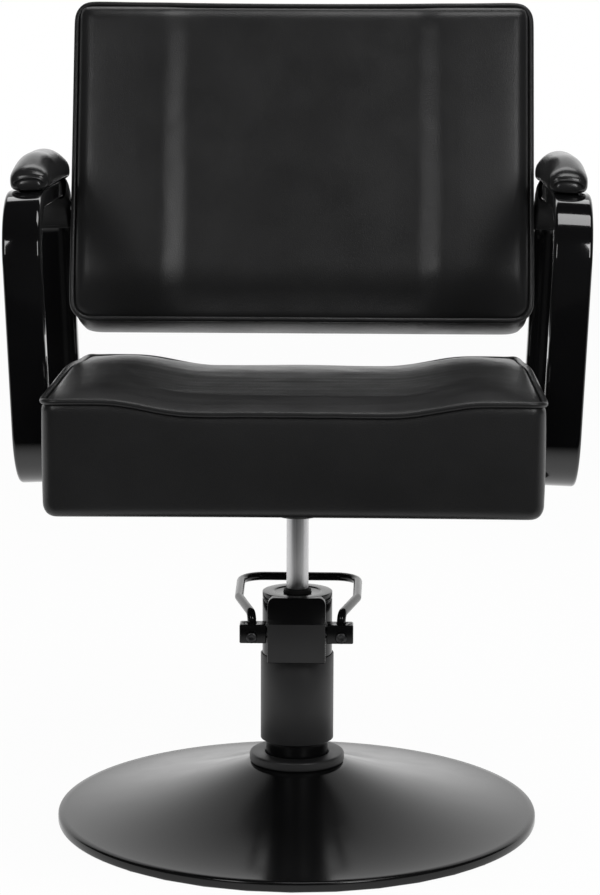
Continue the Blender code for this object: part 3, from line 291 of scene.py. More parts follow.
# %% [markdown]
# ### Enamel and powder coat
# The arm tubes carry a wet gloss enamel with a faint orange-peel wave. The base, the pump casting and the
# pedal have a baked lacquer, a little softer. The pump's tube, the collar, the seat bracket and the face of
# the pedal hood are powder coated: a dull satin, with a tight texture that only shows in the highlights.

# %% Enamel and powder coat
enamel, tree, shader = new_finish("gloss_black_enamel")
tint(tree, grain(tree, 7), (0.0028, 0.0028, 0.003), (0.0045, 0.0045, 0.0048), shader)
spread(tree, grain(tree, 18), 0.05, 0.1, shader.inputs["Roughness"])
relief(tree, grain(tree, 160, detail=1.0), 0.00006, 0.12, shader)
shader.inputs["Coat Weight"].default_value = 0.4
shader.inputs["Coat Roughness"].default_value = 0.03
print("finish:", enamel.name)

powder, tree, shader = new_finish("satin_black_powder_coat")
tint(tree, grain(tree, 12), (0.015, 0.015, 0.0155), (0.02, 0.02, 0.0205), shader)
spread(tree, grain(tree, 30), 0.38, 0.46, shader.inputs["Roughness"])
relief(tree, grain(tree, 1400), 0.00008, 0.2, shader)
print("finish:", powder.name)

lacquer, tree, shader = new_finish("black_stove_lacquer")
tint(tree, grain(tree, 10), (0.003, 0.003, 0.0032), (0.005, 0.005, 0.0052), shader)
spread(tree, grain(tree, 24), 0.13, 0.19, shader.inputs["Roughness"])
relief(tree, grain(tree, 600), 0.00005, 0.12, shader)
shader.inputs["Specular IOR Level"].default_value = 0.38
print("finish:", lacquer.name)

# %% [markdown]
# ### Bare metals
# The lift rod is ground and polished, so its fine scratches run along it and its reflection breaks into
# upright streaks. Bolts are zinc plated, the hidden pump pieces are plain oiled steel and bronze.


# %% Bare metals
def bare_metal(name, dark, light, smooth, rough, scale, stretch=(1, 1, 1)):
    """A metal whose tone and polish follow one stretched noise."""
    made, tree, shader = new_finish(name)
    shader.inputs["Metallic"].default_value = 1.0
    marks = grain(tree, scale, stretch, 6.0)
    tint(tree, marks, dark, light, shader)
    spread(tree, marks, smooth, rough, shader.inputs["Roughness"])
    relief(tree, marks, 0.00004, 0.1, shader)
    print("finish:", name)
    return made


along_rod = (1, 1, 0.01)
ground_steel = bare_metal("ground_steel", (0.66, 0.66, 0.67), (0.98, 0.98, 0.98), 0.36, 0.5, 330, along_rod)
dark_steel = bare_metal("blackened_steel", (0.05, 0.05, 0.052), (0.1, 0.1, 0.102), 0.34, 0.5, 150)
zinc_plate = bare_metal("zinc_plate", (0.5, 0.5, 0.52), (0.66, 0.66, 0.67), 0.24, 0.38, 240)
oiled_steel = bare_metal("oiled_steel", (0.24, 0.24, 0.25), (0.38, 0.38, 0.39), 0.34, 0.5, 150)
bronze = bare_metal("bearing_bronze", (0.45, 0.29, 0.13), (0.6, 0.4, 0.18), 0.3, 0.45, 150)

# %% [markdown]
# ### Rubber, plywood and dust cloth
# These are seen from below or not at all, but the chair is kept as a whole, so they are finished too:
# dull rubber, black-stained plywood with its grain along the chair, and a thin woven cloth.

# %% Rubber, plywood and dust cloth
rubber, tree, shader = new_finish("black_rubber")
tint(tree, grain(tree, 40), (0.01, 0.01, 0.01), (0.016, 0.016, 0.016), shader)
spread(tree, grain(tree, 90), 0.55, 0.7, shader.inputs["Roughness"])
relief(tree, grain(tree, 900), 0.0001, 0.3, shader)

plywood, tree, shader = new_finish("stained_plywood")
rings = grain(tree, 30, (6, 0.4, 6), 8.0)
tint(tree, rings, (0.02, 0.017, 0.014), (0.04, 0.034, 0.028), shader)
spread(tree, rings, 0.5, 0.65, shader.inputs["Roughness"])
relief(tree, rings, 0.0002, 0.3, shader)

dust_cloth, tree, shader = new_finish("black_dust_cloth")
threads = grain(tree, 900, (1, 0.08, 1), 2.0)
tint(tree, threads, (0.01, 0.01, 0.01), (0.022, 0.022, 0.022), shader)
spread(tree, threads, 0.8, 0.95, shader.inputs["Roughness"])
warp = relief(tree, threads, 0.0002, 0.4, shader)
relief(tree, grain(tree, 900, (0.08, 1, 1), 2.0), 0.0002, 0.4, shader, warp)
print("finishes:", len(bpy.data.materials))

# %% [markdown]
# ## Solids that keep their shape
# The pieces inside the pump, the frames under the covers and the plates under the base are right as they
# are. Each gets its finish in place of the plain colour of the engineering model.

# %% Solids that keep their shape
kept_finishes = {
    rubber: ["floor_pad", "piston_seal"],
    oiled_steel: ["base_plate", "main_cylinder", "foot_valve", "pump_barrel", "piston", "pedal_shaft",
                  "pedal_rocker"],
    zinc_plate: ["foot_bolt_1", "foot_bolt_2", "foot_bolt_3"],
    bronze: ["rod_guide_bush"],
    ground_steel: ["pump_plunger"],
    plywood: ["seat_frame", "back_frame"],
    dust_cloth: ["seat_dust_cover"],
    powder: ["pad_strip_left", "pad_strip_right"],
}
for surface, names in kept_finishes.items():
    for name in names:
        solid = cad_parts[name]
        solid.data.materials.clear()
        solid.data.materials.append(surface)
print("solids kept:", sum(len(names) for names in kept_finishes.values()))

# %% [markdown]
# ## Turned pieces of the base and pump
# A lathe makes all of these, and a ring that is raised and resized step by step does the same here. A ring
# is a pair: its radius and its height. The wall is closed at the end by bridging the last ring to the
# first, a small bevel eases the edges, and shading is smooth up to a set angle.


# %% Turning a piece
def even_out_normals():
    """In edit mode: make all faces of the piece point outwards."""
    bpy.ops.mesh.select_all(action="SELECT")
    bpy.ops.mesh.normals_make_consistent(inside=False)


def select_only(piece):
    """Make a piece the only one selected, and the active one."""
    bpy.ops.object.select_all(action="DESELECT")
    piece.select_set(True)
    bpy.context.view_layer.objects.active = piece


def apply_modifier(piece, kind, **settings):
    """Add a modifier to the active piece, set it and apply it."""
    bpy.ops.object.modifier_add(type=kind)
    modifier = piece.modifiers[-1]
    for name, value in settings.items():
        setattr(modifier, name, value)
    bpy.ops.object.modifier_apply(modifier=modifier.name)


def ease(piece, width, segments=3, angle=25):
    """Bevel the sharp edges of a piece and shade it smooth up to an angle."""
    apply_modifier(piece, "BEVEL", width=width, segments=segments, limit_method="ANGLE",
                   angle_limit=math.radians(angle))
    bpy.ops.object.shade_smooth_by_angle(angle=math.radians(38))


def turned(rings, steps=96, hollow=True):
    """Raise a ring through all its radii and heights, then close the wall, or cap the ends if it is solid."""
    bpy.ops.object.select_all(action="DESELECT")
    radius, height = rings[0]
    bpy.ops.mesh.primitive_circle_add(vertices=steps, radius=radius, location=(0, 0, height))
    piece = bpy.context.active_object
    bpy.ops.object.transform_apply(location=True)
    bpy.ops.object.mode_set(mode="EDIT")
    bpy.ops.mesh.select_mode(type="EDGE")
    bpy.ops.mesh.select_all(action="SELECT")
    for next_radius, next_height in rings[1:]:
        bpy.ops.mesh.extrude_edges_move(TRANSFORM_OT_translate={"value": (0, 0, next_height - height)})
        size = next_radius / radius
        bpy.ops.transform.resize(value=(size, size, 1), center_override=(0, 0, next_height))
        radius, height = next_radius, next_height
    bpy.ops.mesh.select_all(action="DESELECT")
    bpy.ops.mesh.select_non_manifold(extend=False)
    if hollow:
        bpy.ops.mesh.bridge_edge_loops()
    else:
        bpy.ops.mesh.fill_holes(sides=0)
    even_out_normals()
    bpy.ops.object.mode_set(mode="OBJECT")
    return piece


def hand_over(piece, name, surface, body, slot_name, *nodes):
    """Name a finished piece, give it its finish, and hang it on its body in place of its solids."""
    piece.name = name
    piece.data.name = name
    piece.data.materials.clear()
    piece.data.materials.append(surface)
    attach(piece, body)
    if nodes:
        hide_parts(*nodes)
    print(name, "faces:", len(piece.data.polygons))


# %% [markdown]
# ### Base
# The base cover is a steel disc spun over a form into a trumpet: nearly flat at the rim and steeper
# towards the neck. A thick turned collar closes the hole where the pump comes out.

# %% Base
base_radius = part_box("base_shell")[1].x
base_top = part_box("base_shell")[1].z
collar_low, collar_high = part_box("base_collar")
collar_radius = collar_high.x
neck_hole = 34.2 * MM
rim_rise = 11.1 * MM
shell_wall = 2 * MM


def trumpet(radius):
    """Height of the base cover at a radius."""
    share = (base_radius - radius) / (base_radius - collar_radius)
    return rim_rise + (base_top - rim_rise) * max(share, 0) ** 1.55


steps = [collar_radius + (base_radius - shell_wall - collar_radius) * k / 40 for k in range(41)]
outside = [(neck_hole, base_top)] + [(radius, trumpet(radius)) for radius in steps]
skirt = [(base_radius - 0.6 * MM, 10.3 * MM), (base_radius, 8.6 * MM), (base_radius, 2.6 * MM),
         (base_radius - 0.7 * MM, 0.8 * MM), (base_radius - shell_wall, 0.8 * MM)]
inside = [(radius, trumpet(radius) - shell_wall) for radius in reversed(steps)]
cover = turned(outside + skirt + inside + [(neck_hole, base_top - shell_wall)], 160)
ease(cover, 0.7 * MM, 2, 30)
hand_over(cover, "trumpet_cover", lacquer, "base", "satin_black", "base_shell")

collar = turned([(neck_hole, collar_low.z), (collar_radius, collar_low.z), (collar_radius, collar_high.z),
                 (neck_hole, collar_high.z)], 128)
ease(collar, 2.6 * MM, 5, 60)
hand_over(collar, "neck_collar", powder, "base", "satin_black", "base_collar")

# %% [markdown]
# ### Pump
# The pump is an iron casting with a foot. A thin tube covers its lower part, a lid is screwed on top, and
# a rubber wiper keeps hair off the rod. The casting has a window at the front for the pedal lever, cut
# here with a block, as a milling cutter would.

# %% Pump
housing_low, housing_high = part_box("pump_housing")
sleeve_low, sleeve_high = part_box("pump_sleeve")
cap_low, cap_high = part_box("pump_cap")
housing_radius = 38.1 * MM
neck_radius = 33.9 * MM
foot_hole, foot_radius = 26 * MM, 61.9 * MM
bore, upper_bore = 29.9 * MM, 33.9 * MM
foot_top = housing_low.z + 10 * MM
bore_step = sleeve_low.z + 4 * MM
casting = turned([(foot_hole, foot_top), (foot_hole, housing_low.z), (foot_radius, housing_low.z),
                  (foot_radius, foot_top), (neck_radius, foot_top), (neck_radius, sleeve_low.z),
                  (housing_radius, sleeve_low.z), (housing_radius, housing_high.z), (upper_bore, housing_high.z),
                  (upper_bore, bore_step), (bore, bore_step), (bore, foot_top + 1 * MM)])


def cut_away(piece, cutter):
    """Cut one piece with another and throw the cutter away."""
    select_only(piece)
    apply_modifier(piece, "BOOLEAN", operation="DIFFERENCE", solver="EXACT", object=cutter)
    bpy.data.objects.remove(cutter, do_unlink=True)


def block(low, high):
    """A plain block between two corners, as a start or as a cutter."""
    low, high = Vector(low), Vector(high)
    bpy.ops.object.select_all(action="DESELECT")
    bpy.ops.mesh.primitive_cube_add(size=1, location=(low + high) / 2, scale=high - low)
    made = bpy.context.active_object
    bpy.ops.object.transform_apply(location=True, scale=True)
    return made


window_half = 29.2 * MM
window = block((-window_half, -80 * MM, sleeve_high.z + 8 * MM), (window_half, -20 * MM, housing_high.z - 9 * MM))
cut_away(casting, window)
ease(casting, 0.8 * MM, 2, 50)
hand_over(casting, "pump_casting", lacquer, "base", "cast_iron", "pump_housing")

clear = 0.3 * MM
tube = turned([(housing_radius + clear, sleeve_low.z), (sleeve_high.x, sleeve_low.z),
               (sleeve_high.x, sleeve_high.z), (housing_radius + clear, sleeve_high.z)])
ease(tube, 0.5 * MM, 2, 50)
hand_over(tube, "pump_tube", powder, "base", "satin_black", "pump_sleeve")

lid_low = housing_high.z + clear
lid_hole, lid_plug = 15.3 * MM, 33.6 * MM
dish_floor = cap_high.z - 1.2 * MM
lid = turned([(lid_hole, cap_low.z), (lid_plug, cap_low.z), (lid_plug, lid_low), (housing_radius, lid_low),
              (housing_radius, cap_high.z), (26 * MM, cap_high.z), (24.5 * MM, dish_floor),
              (lid_hole, dish_floor)])
ease(lid, 1.6 * MM, 4, 35)
hand_over(lid, "pump_lid", lacquer, "base", "satin_black", "pump_cap")

wiper_low, wiper_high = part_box("rod_wiper_seal")
rod_hole, wiper_radius, lip = 12.3 * MM, 15 * MM, 1.4 * MM
wiper = turned([(rod_hole, wiper_low.z), (wiper_radius, wiper_low.z), (wiper_radius, wiper_high.z - lip),
                (rod_hole + clear, wiper_high.z), (rod_hole, wiper_high.z)])
ease(wiper, 0.25 * MM, 2, 50)
hand_over(wiper, "rod_wiper", rubber, "base", "rubber", "rod_wiper_seal")

# %% [markdown]
# ### Lift rod and seat bracket
# The rod is one length of ground bar that rises and turns in the pump. Its tapered top sits in the hub of
# a pressed plate, which four bolts hold under the seat.

# %% Lift rod and seat bracket
rod_low, rod_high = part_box("lift_rod")
mount_low, mount_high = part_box("seat_mount")
rod_radius, spigot_radius, taper_radius = 12 * MM, 6 * MM, 10.5 * MM
spigot_top = rod_low.z + 14.3 * MM
rod = turned([(spigot_radius, rod_low.z), (spigot_radius, spigot_top), (rod_radius, spigot_top),
              (rod_radius, mount_low.z), (taper_radius, rod_high.z)], hollow=False)
ease(rod, 0.4 * MM, 2, 40)
hand_over(rod, "lift_column", ground_steel, "seat", "bright_steel", "lift_rod")

hub_radius = 23.3 * MM
plate_low = mount_high.z - 6 * MM
hub = turned([(rod_hole, mount_low.z), (hub_radius, mount_low.z), (hub_radius, plate_low), (rod_hole, plate_low)])
ease(hub, 1.6 * MM, 4, 50)


def ease_edges(piece, wanted, width, segments):
    """Bevel the edges that a test on their two ends picks out."""
    bpy.ops.object.mode_set(mode="EDIT")
    bpy.ops.mesh.select_mode(type="EDGE")
    bpy.ops.mesh.select_all(action="DESELECT")
    mesh = bmesh.from_edit_mesh(piece.data)
    for edge in mesh.edges:
        edge.select_set(wanted(edge.verts[0].co, edge.verts[1].co))
    bmesh.update_edit_mesh(piece.data)
    bpy.ops.mesh.bevel(offset=width, segments=segments, affect="EDGES")
    bpy.ops.object.mode_set(mode="OBJECT")


def upright(a, b):
    """An edge that stands straight up."""
    return (a - b).xy.length < 1e-6


plate = block((mount_low.x, mount_low.y, plate_low), mount_high)
ease_edges(plate, upright, 14 * MM, 8)
ease(plate, 1 * MM, 2, 50)
hub.select_set(True)
bpy.context.view_layer.objects.active = plate
bpy.ops.object.join()
hand_over(plate, "seat_bracket", powder, "seat", "satin_black", "seat_mount")

# %% [markdown]
# ## Pedal hood
# A pressed box covers the pedal shaft. Its upper corners are round and its front leans back above the
# face. It starts as a block without a rear side, gets its lean from a cut, a wall of two millimetres, and
# holes for the pump and the shaft.

# %% Pedal hood
hood_low, hood_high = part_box("pump_front_box")
shaft_at = Vector((0, -39.9 * MM, 216.6 * MM))
hood_rear, hood_wall = -17 * MM, 2 * MM
hood = block(hood_low, (hood_high.x, hood_rear, hood_high.z))


def top_side(a, b):
    """An edge of the hood's top that runs from front to rear."""
    return min(a.z, b.z) > hood_high.z - 1e-6 and abs(a.x - b.x) < 1e-6


ease_edges(hood, top_side, 7 * MM, 6)
face_top = hood_low.z + 42.2 * MM
lean = Vector((0, 14 * MM, hood_high.z - face_top)).normalized()
bpy.ops.object.mode_set(mode="EDIT")
bpy.ops.mesh.select_all(action="SELECT")
bpy.ops.mesh.bisect(plane_co=(0, hood_low.y, face_top), plane_no=(0, -lean.z, lean.y),
                    use_fill=True, clear_outer=True)
bpy.ops.mesh.select_mode(type="FACE")
bpy.ops.mesh.select_all(action="DESELECT")
mesh = bmesh.from_edit_mesh(hood.data)
for face in mesh.faces:
    face.select_set(face.normal.y > 0.9)
bmesh.update_edit_mesh(hood.data)
bpy.ops.mesh.delete(type="FACE")
bpy.ops.object.mode_set(mode="OBJECT")
ease(hood, 1.3 * MM, 3, 20)
apply_modifier(hood, "SOLIDIFY", thickness=hood_wall, offset=-1)


across = (0, math.pi / 2, 0)


def bar_cutter(radius, length, place, turn=(0, 0, 0)):
    """A round cutter, upright or turned."""
    bpy.ops.object.select_all(action="DESELECT")
    bpy.ops.mesh.primitive_cylinder_add(vertices=96, radius=radius, depth=length,
                                        location=place, rotation=turn)
    made = bpy.context.active_object
    bpy.ops.object.transform_apply(location=True, rotation=True)
    return made


cut_away(hood, bar_cutter(housing_radius + 0.4 * MM, 0.6, (0, 0, 0.3)))
cut_away(hood, bar_cutter(6.4 * MM, 0.2, shaft_at, across))
bpy.ops.object.shade_smooth_by_angle(angle=math.radians(38))
hand_over(hood, "pedal_hood", lacquer, "base", "satin_black", "pump_front_box")
hood.data.materials.append(powder)
for face in hood.data.polygons:
    face.material_index = int(face.normal.y < -0.9 and face.center.z < face_top)

# %% [markdown]
# ## Foot pedal
# Two iron lugs are clamped on the ends of the shaft by set screws, and a bent round bar joins them behind
# the pump. The lugs are blocks with eased edges. The bar is a path with round bends and a round section.


# %% Foot pedal
def rounded_path(corners, radii, steps, closed=False):
    """Points along straight runs, with an arc of each corner's own radius."""
    points = []
    count = len(corners)
    for index, corner in enumerate(corners):
        if not closed and index in (0, count - 1):
            points.append(Vector(corner))
            continue
        here = Vector(corner)
        back = (Vector(corners[index - 1]) - here).normalized()
        ahead = (Vector(corners[(index + 1) % count]) - here).normalized()
        half = back.angle(ahead) / 2
        reach = radii[index] / math.tan(half)
        centre = here + (back + ahead).normalized() * radii[index] / math.sin(half)
        first = here + back * reach - centre
        last = here + ahead * reach - centre
        for step in range(steps + 1):
            points.append(centre + first.normalized().slerp(last.normalized(), step / steps) * radii[index])
    return points


def cord_along(points, radius, closed, smooth=4):
    """A round bar or piping along a path, as a mesh."""
    curve = bpy.data.curves.new("path", "CURVE")
    curve.dimensions = "3D"
    curve.bevel_depth = radius
    curve.bevel_resolution = smooth
    curve.use_fill_caps = not closed
    spline = curve.splines.new("POLY")
    spline.points.add(len(points) - 1)
    for spot, point in zip(spline.points, points):
        spot.co = (*point, 1)
    spline.use_cyclic_u = closed
    made = bpy.data.objects.new("path", curve)
    bpy.context.collection.objects.link(made)
    select_only(made)
    bpy.ops.object.convert(target="MESH")
    bpy.ops.object.shade_smooth_by_angle(angle=math.radians(60))
    return bpy.context.active_object


lug_x, bar_radius = 48.2 * MM, 4.8 * MM
right_half = [(lug_x, 0, -8 * MM), (lug_x, 0, 20.5 * MM), (65 * MM, 74 * MM, 22.1 * MM),
              (66.5 * MM, 175 * MM, 24 * MM)]
left_half = [(-x, y, z) for x, y, z in reversed(right_half)]
bends = [0, 9 * MM, 25 * MM, 26 * MM]
bar_path = [point + shaft_at for point in rounded_path(right_half + left_half, bends + bends[::-1], 10)]
bar = cord_along(bar_path, bar_radius, False, 6)
hand_over(bar, "pedal_loop", lacquer, "pedal", "satin_black", "pedal_bar")

sides = (("left", -1), ("right", 1))
for label, side in sides:
    lug = block(*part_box(f"pedal_block_{label}"))
    shaft_end = shaft_at + Vector((side * 32.2 * MM, 0, 0))
    bar_end = shaft_at + Vector((side * lug_x, 0, 11.8 * MM))
    cut_away(lug, bar_cutter(6.2 * MM, 18 * MM, shaft_end, across))
    cut_away(lug, bar_cutter(5 * MM, 40 * MM, bar_end))
    ease(lug, 1.5 * MM, 3, 40)
    hand_over(lug, f"pedal_lug_{label}", lacquer, "pedal", "satin_black", f"pedal_block_{label}")

# %% [markdown]
# A small coil spring under the head of the plunger brings the pedal up again after each stroke. Its wire is
# laid along a rising circle. It stands on the pump's barrel at one length, though in the pump it shortens as
# the plunger goes down.

# %% Return spring
spring_low, spring_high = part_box("plunger_spring")
spring_wire, spring_turns, steps_per_turn = 0.8 * MM, 4, 28
coil_radius = (spring_high.x - spring_low.x) / 2 - spring_wire
coil_y = (spring_low.y + spring_high.y) / 2
coil_rise = spring_high.z - spring_low.z - 2 * spring_wire
coil_steps = spring_turns * steps_per_turn
coil = []
for step in range(coil_steps + 1):
    angle = 2 * math.pi * step / steps_per_turn
    coil.append(Vector((coil_radius * math.cos(angle), coil_y + coil_radius * math.sin(angle),
                        spring_low.z + spring_wire + coil_rise * step / coil_steps)))
spring = cord_along(coil, spring_wire, False, 2)
hand_over(spring, "return_spring", ground_steel, "base", "bright_steel", "plunger_spring")
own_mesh(spring)

# %% [markdown]
# ## Screws and bolts
# All the bolts have a round button head with a six-sided socket. One is turned at its size, the socket is
# cut with a six-sided bar, and copies, each with its own mesh, go to their places.


# %% Screws and bolts
def button_bolt(head_radius, head_height, shank_radius, length):
    """A bolt along Z: its button head below zero and its shank above."""
    bolt = turned([(0.55 * head_radius, -head_height), (0.86 * head_radius, -0.72 * head_height),
                   (head_radius, -0.25 * head_height), (head_radius, 0), (shank_radius, 0),
                   (shank_radius, length)], 32, hollow=False)
    bpy.ops.object.select_all(action="DESELECT")
    bpy.ops.mesh.primitive_cylinder_add(vertices=6, radius=0.5 * head_radius, depth=head_height,
                                        location=(0, 0, -head_height))
    socket = bpy.context.active_object
    bpy.ops.object.transform_apply(location=True)
    cut_away(bolt, socket)
    ease(bolt, 0.05 * head_radius, 2, 30)
    return bolt


def copy_to(master, place):
    """A copy with its own mesh, moved and turned by a matrix that is then applied."""
    made = master.copy()
    made.data = master.data.copy()
    bpy.context.collection.objects.link(made)
    made.matrix_world = place
    select_only(made)
    bpy.ops.object.transform_apply(location=True, rotation=True, scale=True)
    return made


set_screw = button_bolt(head_radius=6.3 * MM, head_height=3 * MM, shank_radius=4 * MM, length=5 * MM)
for label, side in sides:
    spot = shaft_at + Vector((side * lug_x, -10.55 * MM, -3.5 * MM))
    screw = copy_to(set_screw, Matrix.Translation(spot) @ Matrix.Rotation(-math.pi / 2, 4, "X"))
    hand_over(screw, f"set_screw_{label}", dark_steel, "pedal", "zinc", f"pedal_set_screw_{label}")
mount_head = 5.2 * MM
mount_bolt = button_bolt(head_radius=6.8 * MM, head_height=mount_head, shank_radius=4 * MM, length=15 * MM)
for number in range(1, 5):
    bolt_low, bolt_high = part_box(f"mount_bolt_{number}")
    middle = (bolt_low + bolt_high) / 2
    bolt = copy_to(mount_bolt, Matrix.Translation((middle.x, middle.y, bolt_low.z + mount_head)))
    hand_over(bolt, f"bracket_bolt_{number}", zinc_plate, "seat", "zinc", f"mount_bolt_{number}")
for master in (set_screw, mount_bolt):
    bpy.data.objects.remove(master, do_unlink=True)

# %% [markdown]
# ## Arm loops
# Each arm is a flat tube, 40 by 20 millimetres, bent into a closed loop that leans out by two degrees. A
# rectangle with eased corners is pulled along the straight runs and spun round the bends, and where it
# comes back to its start the two ends are merged.

# %% Arm loops
tube_width = 40 * MM
tube_depth = 20 * MM
arm_front, arm_rear, arm_top = -90 * MM, 215 * MM, 290 * MM
low_bend, top_bend = 50 * MM, 65 * MM
arm_x, arm_low = 255 * MM, 391 * MM
arm_lean = math.radians(2.36)
quarter = -math.pi / 2


def arm_plane(side):
    """Where an arm's own plane stands in the chair."""
    return Matrix.Translation((side * arm_x, 0, arm_low)) @ Matrix.Rotation(side * arm_lean, 4, "Y")


def pull(distance):
    """In edit mode: draw the open end of the tube along a straight run."""
    bpy.ops.mesh.extrude_edges_move(TRANSFORM_OT_translate={"value": distance})


def bend(centre_y, centre_z, angle=quarter, steps=18):
    """In edit mode: spin the open end of the tube round a bend."""
    bpy.ops.mesh.spin(steps=steps, angle=angle, center=(0, centre_y, centre_z), axis=(1, 0, 0))


def tube_end(width, depth, corner, place):
    """Open end of a flat tube that looks along the chair: a rectangle with eased corners and no face."""
    bpy.ops.object.select_all(action="DESELECT")
    bpy.ops.mesh.primitive_plane_add(size=1)
    made = bpy.context.active_object
    bpy.ops.object.mode_set(mode="EDIT")
    bpy.ops.transform.resize(value=(width, depth, 1))
    bpy.ops.mesh.bevel(offset=corner, segments=6, affect="VERTICES")
    bpy.ops.transform.rotate(value=math.pi / 2, orient_axis="X", center_override=(0, 0, 0))
    bpy.ops.mesh.delete(type="ONLY_FACE")
    bpy.ops.mesh.select_mode(type="EDGE")
    bpy.ops.mesh.select_all(action="SELECT")
    bpy.ops.transform.translate(value=place)
    return made


for label, side in sides:
    loop = tube_end(tube_width, tube_depth, 4 * MM, (side * tube_width / 2, arm_front + low_bend, 0))
    pull((0, arm_rear - arm_front - 2 * low_bend, 0))
    bend(arm_rear - low_bend, low_bend)
    pull((0, 0, arm_top - low_bend - top_bend))
    bend(arm_rear - top_bend, arm_top - top_bend)
    pull((0, arm_front - arm_rear + 2 * top_bend, 0))
    bend(arm_front + top_bend, arm_top - top_bend)
    pull((0, 0, low_bend + top_bend - arm_top))
    bend(arm_front + low_bend, low_bend)
    bpy.ops.mesh.select_all(action="SELECT")
    bpy.ops.mesh.remove_doubles(threshold=0.00001)
    even_out_normals()
    bpy.ops.object.mode_set(mode="OBJECT")
    loop.matrix_world = arm_plane(side)
    bpy.ops.object.transform_apply(location=True, rotation=True)
    bpy.ops.object.shade_smooth_by_angle(angle=math.radians(38))
    hand_over(loop, f"arm_loop_{label}", enamel, "seat", "gloss_black", f"arm_frame_{label}")

# %% [markdown]
# Four bolts go through each tube, two into the seat and two into the back, with a bright spacer between
# the tube and what it holds. The pad screws go up through the tube from below.

# %% Arm bolts and spacers
arm_bolts = {"seat_front": (-20 * MM, 0, 5 * MM), "seat_rear": (140 * MM, 0, 5 * MM),
             "back_low": (215 * MM, 194 * MM, 6.2 * MM), "back_high": (199.8 * MM, 266.8 * MM, 7.3 * MM)}
spacer_hole, spacer_radius = 4.2 * MM, 6.8 * MM
pad_offset = 15 * MM
arm_bolt = button_bolt(head_radius=6.8 * MM, head_height=4.5 * MM, shank_radius=4 * MM, length=60 * MM)
pad_screw = button_bolt(head_radius=4.5 * MM, head_height=3 * MM, shank_radius=2.5 * MM, length=22 * MM)
for label, side in sides:
    inward = Matrix.Rotation(-side * math.pi / 2, 4, "Y")
    for name, (y, z, gap) in arm_bolts.items():
        seat_of_head = Matrix.Translation((side * (tube_width + clear), y, z))
        bolt = copy_to(arm_bolt, arm_plane(side) @ seat_of_head @ inward)
        hand_over(bolt, f"bolt_{name}_{label}", zinc_plate, "seat", "zinc", f"arm_bolt_{name}_{label}")
        length = gap - 1 * MM
        spacer = turned([(spacer_hole, 0), (spacer_radius, 0), (spacer_radius, length), (spacer_hole, length)], 48)
        ease(spacer, 0.5 * MM, 2, 50)
        spacer.matrix_world = arm_plane(side) @ Matrix.Translation((0, y, z)) @ inward
        bpy.ops.object.transform_apply(location=True, rotation=True)
        hand_over(spacer, f"spacer_{name}_{label}", zinc_plate, "seat", "zinc")
    for name, y in (("front", -3.5 * MM), ("rear", 136.5 * MM)):
        under = Matrix.Translation((side * pad_offset, y, arm_top - tube_depth / 2 - clear))
        screw = copy_to(pad_screw, arm_plane(side) @ under)
        hand_over(screw, f"pad_bolt_{name}_{label}", zinc_plate, "seat", "zinc", f"pad_screw_{name}_{label}")
for master in (arm_bolt, pad_screw):
    bpy.data.objects.remove(master, do_unlink=True)

# %% [markdown]
# ## Upholstery
# The covers are sewn panels over foam. Each starts as a block a little smaller than the finished cushion,
# is cut into small even squares, shaped, and then blown up as cloth, held along its seams. The cap on the
# movement keeps the cushion to its size, and the held seams draw the edges in as stitching does. Foam fills
# the cover, so the cap is small, and the panels are calmed afterwards.


# %% Helpers for upholstery
def soft_step(value):
    """Ease from 0 to 1."""
    value = min(max(value, 0.0), 1.0)
    return value * value * (3 - 2 * value)


def sunken(x):
    """1 in the sunken middle of the seat and back, 0 on the raised wings."""
    return soft_step((190 * MM - abs(x)) / (90 * MM))


def roll(inset, soft):
    """Round profile from 0 at the rim of a panel to 1 on its flat middle."""
    share = min(max(inset / soft, 0.0), 1.0)
    return math.sqrt(1 - (1 - share) ** 2)


def slope(inset, soft):
    """Gentle profile from 0 at the rim of a panel to 1 on its flat middle."""
    return math.sin(min(max(inset / soft, 0.0), 1.0) * math.pi / 2)


def foam_block(low, high, corner, foot, seam, square):
    """A block with round upright corners, a rounded foot and an eased seam edge, in small even squares."""
    made = block(low, high)
    ease_edges(made, upright, corner, 6)
    ease_edges(made, lambda a, b: max(a.z, b.z) < low[2] + 1e-6, foot, 4)
    ease_edges(made, lambda a, b: min(a.z, b.z) > high[2] - 1e-6, seam, 2)
    made.data.remesh_voxel_size = square
    bpy.ops.object.voxel_remesh()
    return made


def settle(piece, repeat, where=""):
    """Smooth the squares a little, so that no steps of the small grid show."""
    apply_modifier(piece, "SMOOTH", factor=0.5, iterations=repeat, vertex_group=where)


def blow_up(piece, held, cap):
    """Blow a cover up as cloth, held where it is sewn, and cap how far a point may move."""
    before = [vertex.co.copy() for vertex in piece.data.vertices]
    seams = piece.vertex_groups.new(name="seams")
    free = piece.vertex_groups.new(name="free")
    for vertex in piece.data.vertices:
        hold = held(vertex.co)
        seams.add([vertex.index], hold, "REPLACE")
        free.add([vertex.index], 1 - hold, "REPLACE")
    bpy.ops.object.modifier_add(type="CLOTH")
    cloth = piece.modifiers[-1]
    cloth.settings.quality = 3
    cloth.settings.bending_stiffness = 2
    cloth.settings.use_pressure = True
    cloth.settings.uniform_pressure_force = 4
    cloth.settings.effector_weights.gravity = 0
    cloth.settings.vertex_group_mass = "seams"
    cloth.collision_settings.use_collision = False
    last_moment = 20
    for moment in range(1, last_moment + 1):
        bpy.context.scene.frame_set(moment)
    bpy.ops.object.modifier_apply(modifier=cloth.name)
    bpy.context.scene.frame_set(1)
    for vertex, start in zip(piece.data.vertices, before):
        move = vertex.co - start
        if move.length > cap:
            vertex.co = start + move * (cap / move.length)
    settle(piece, 8, "free")
    print("blown up:", len(before), "points")


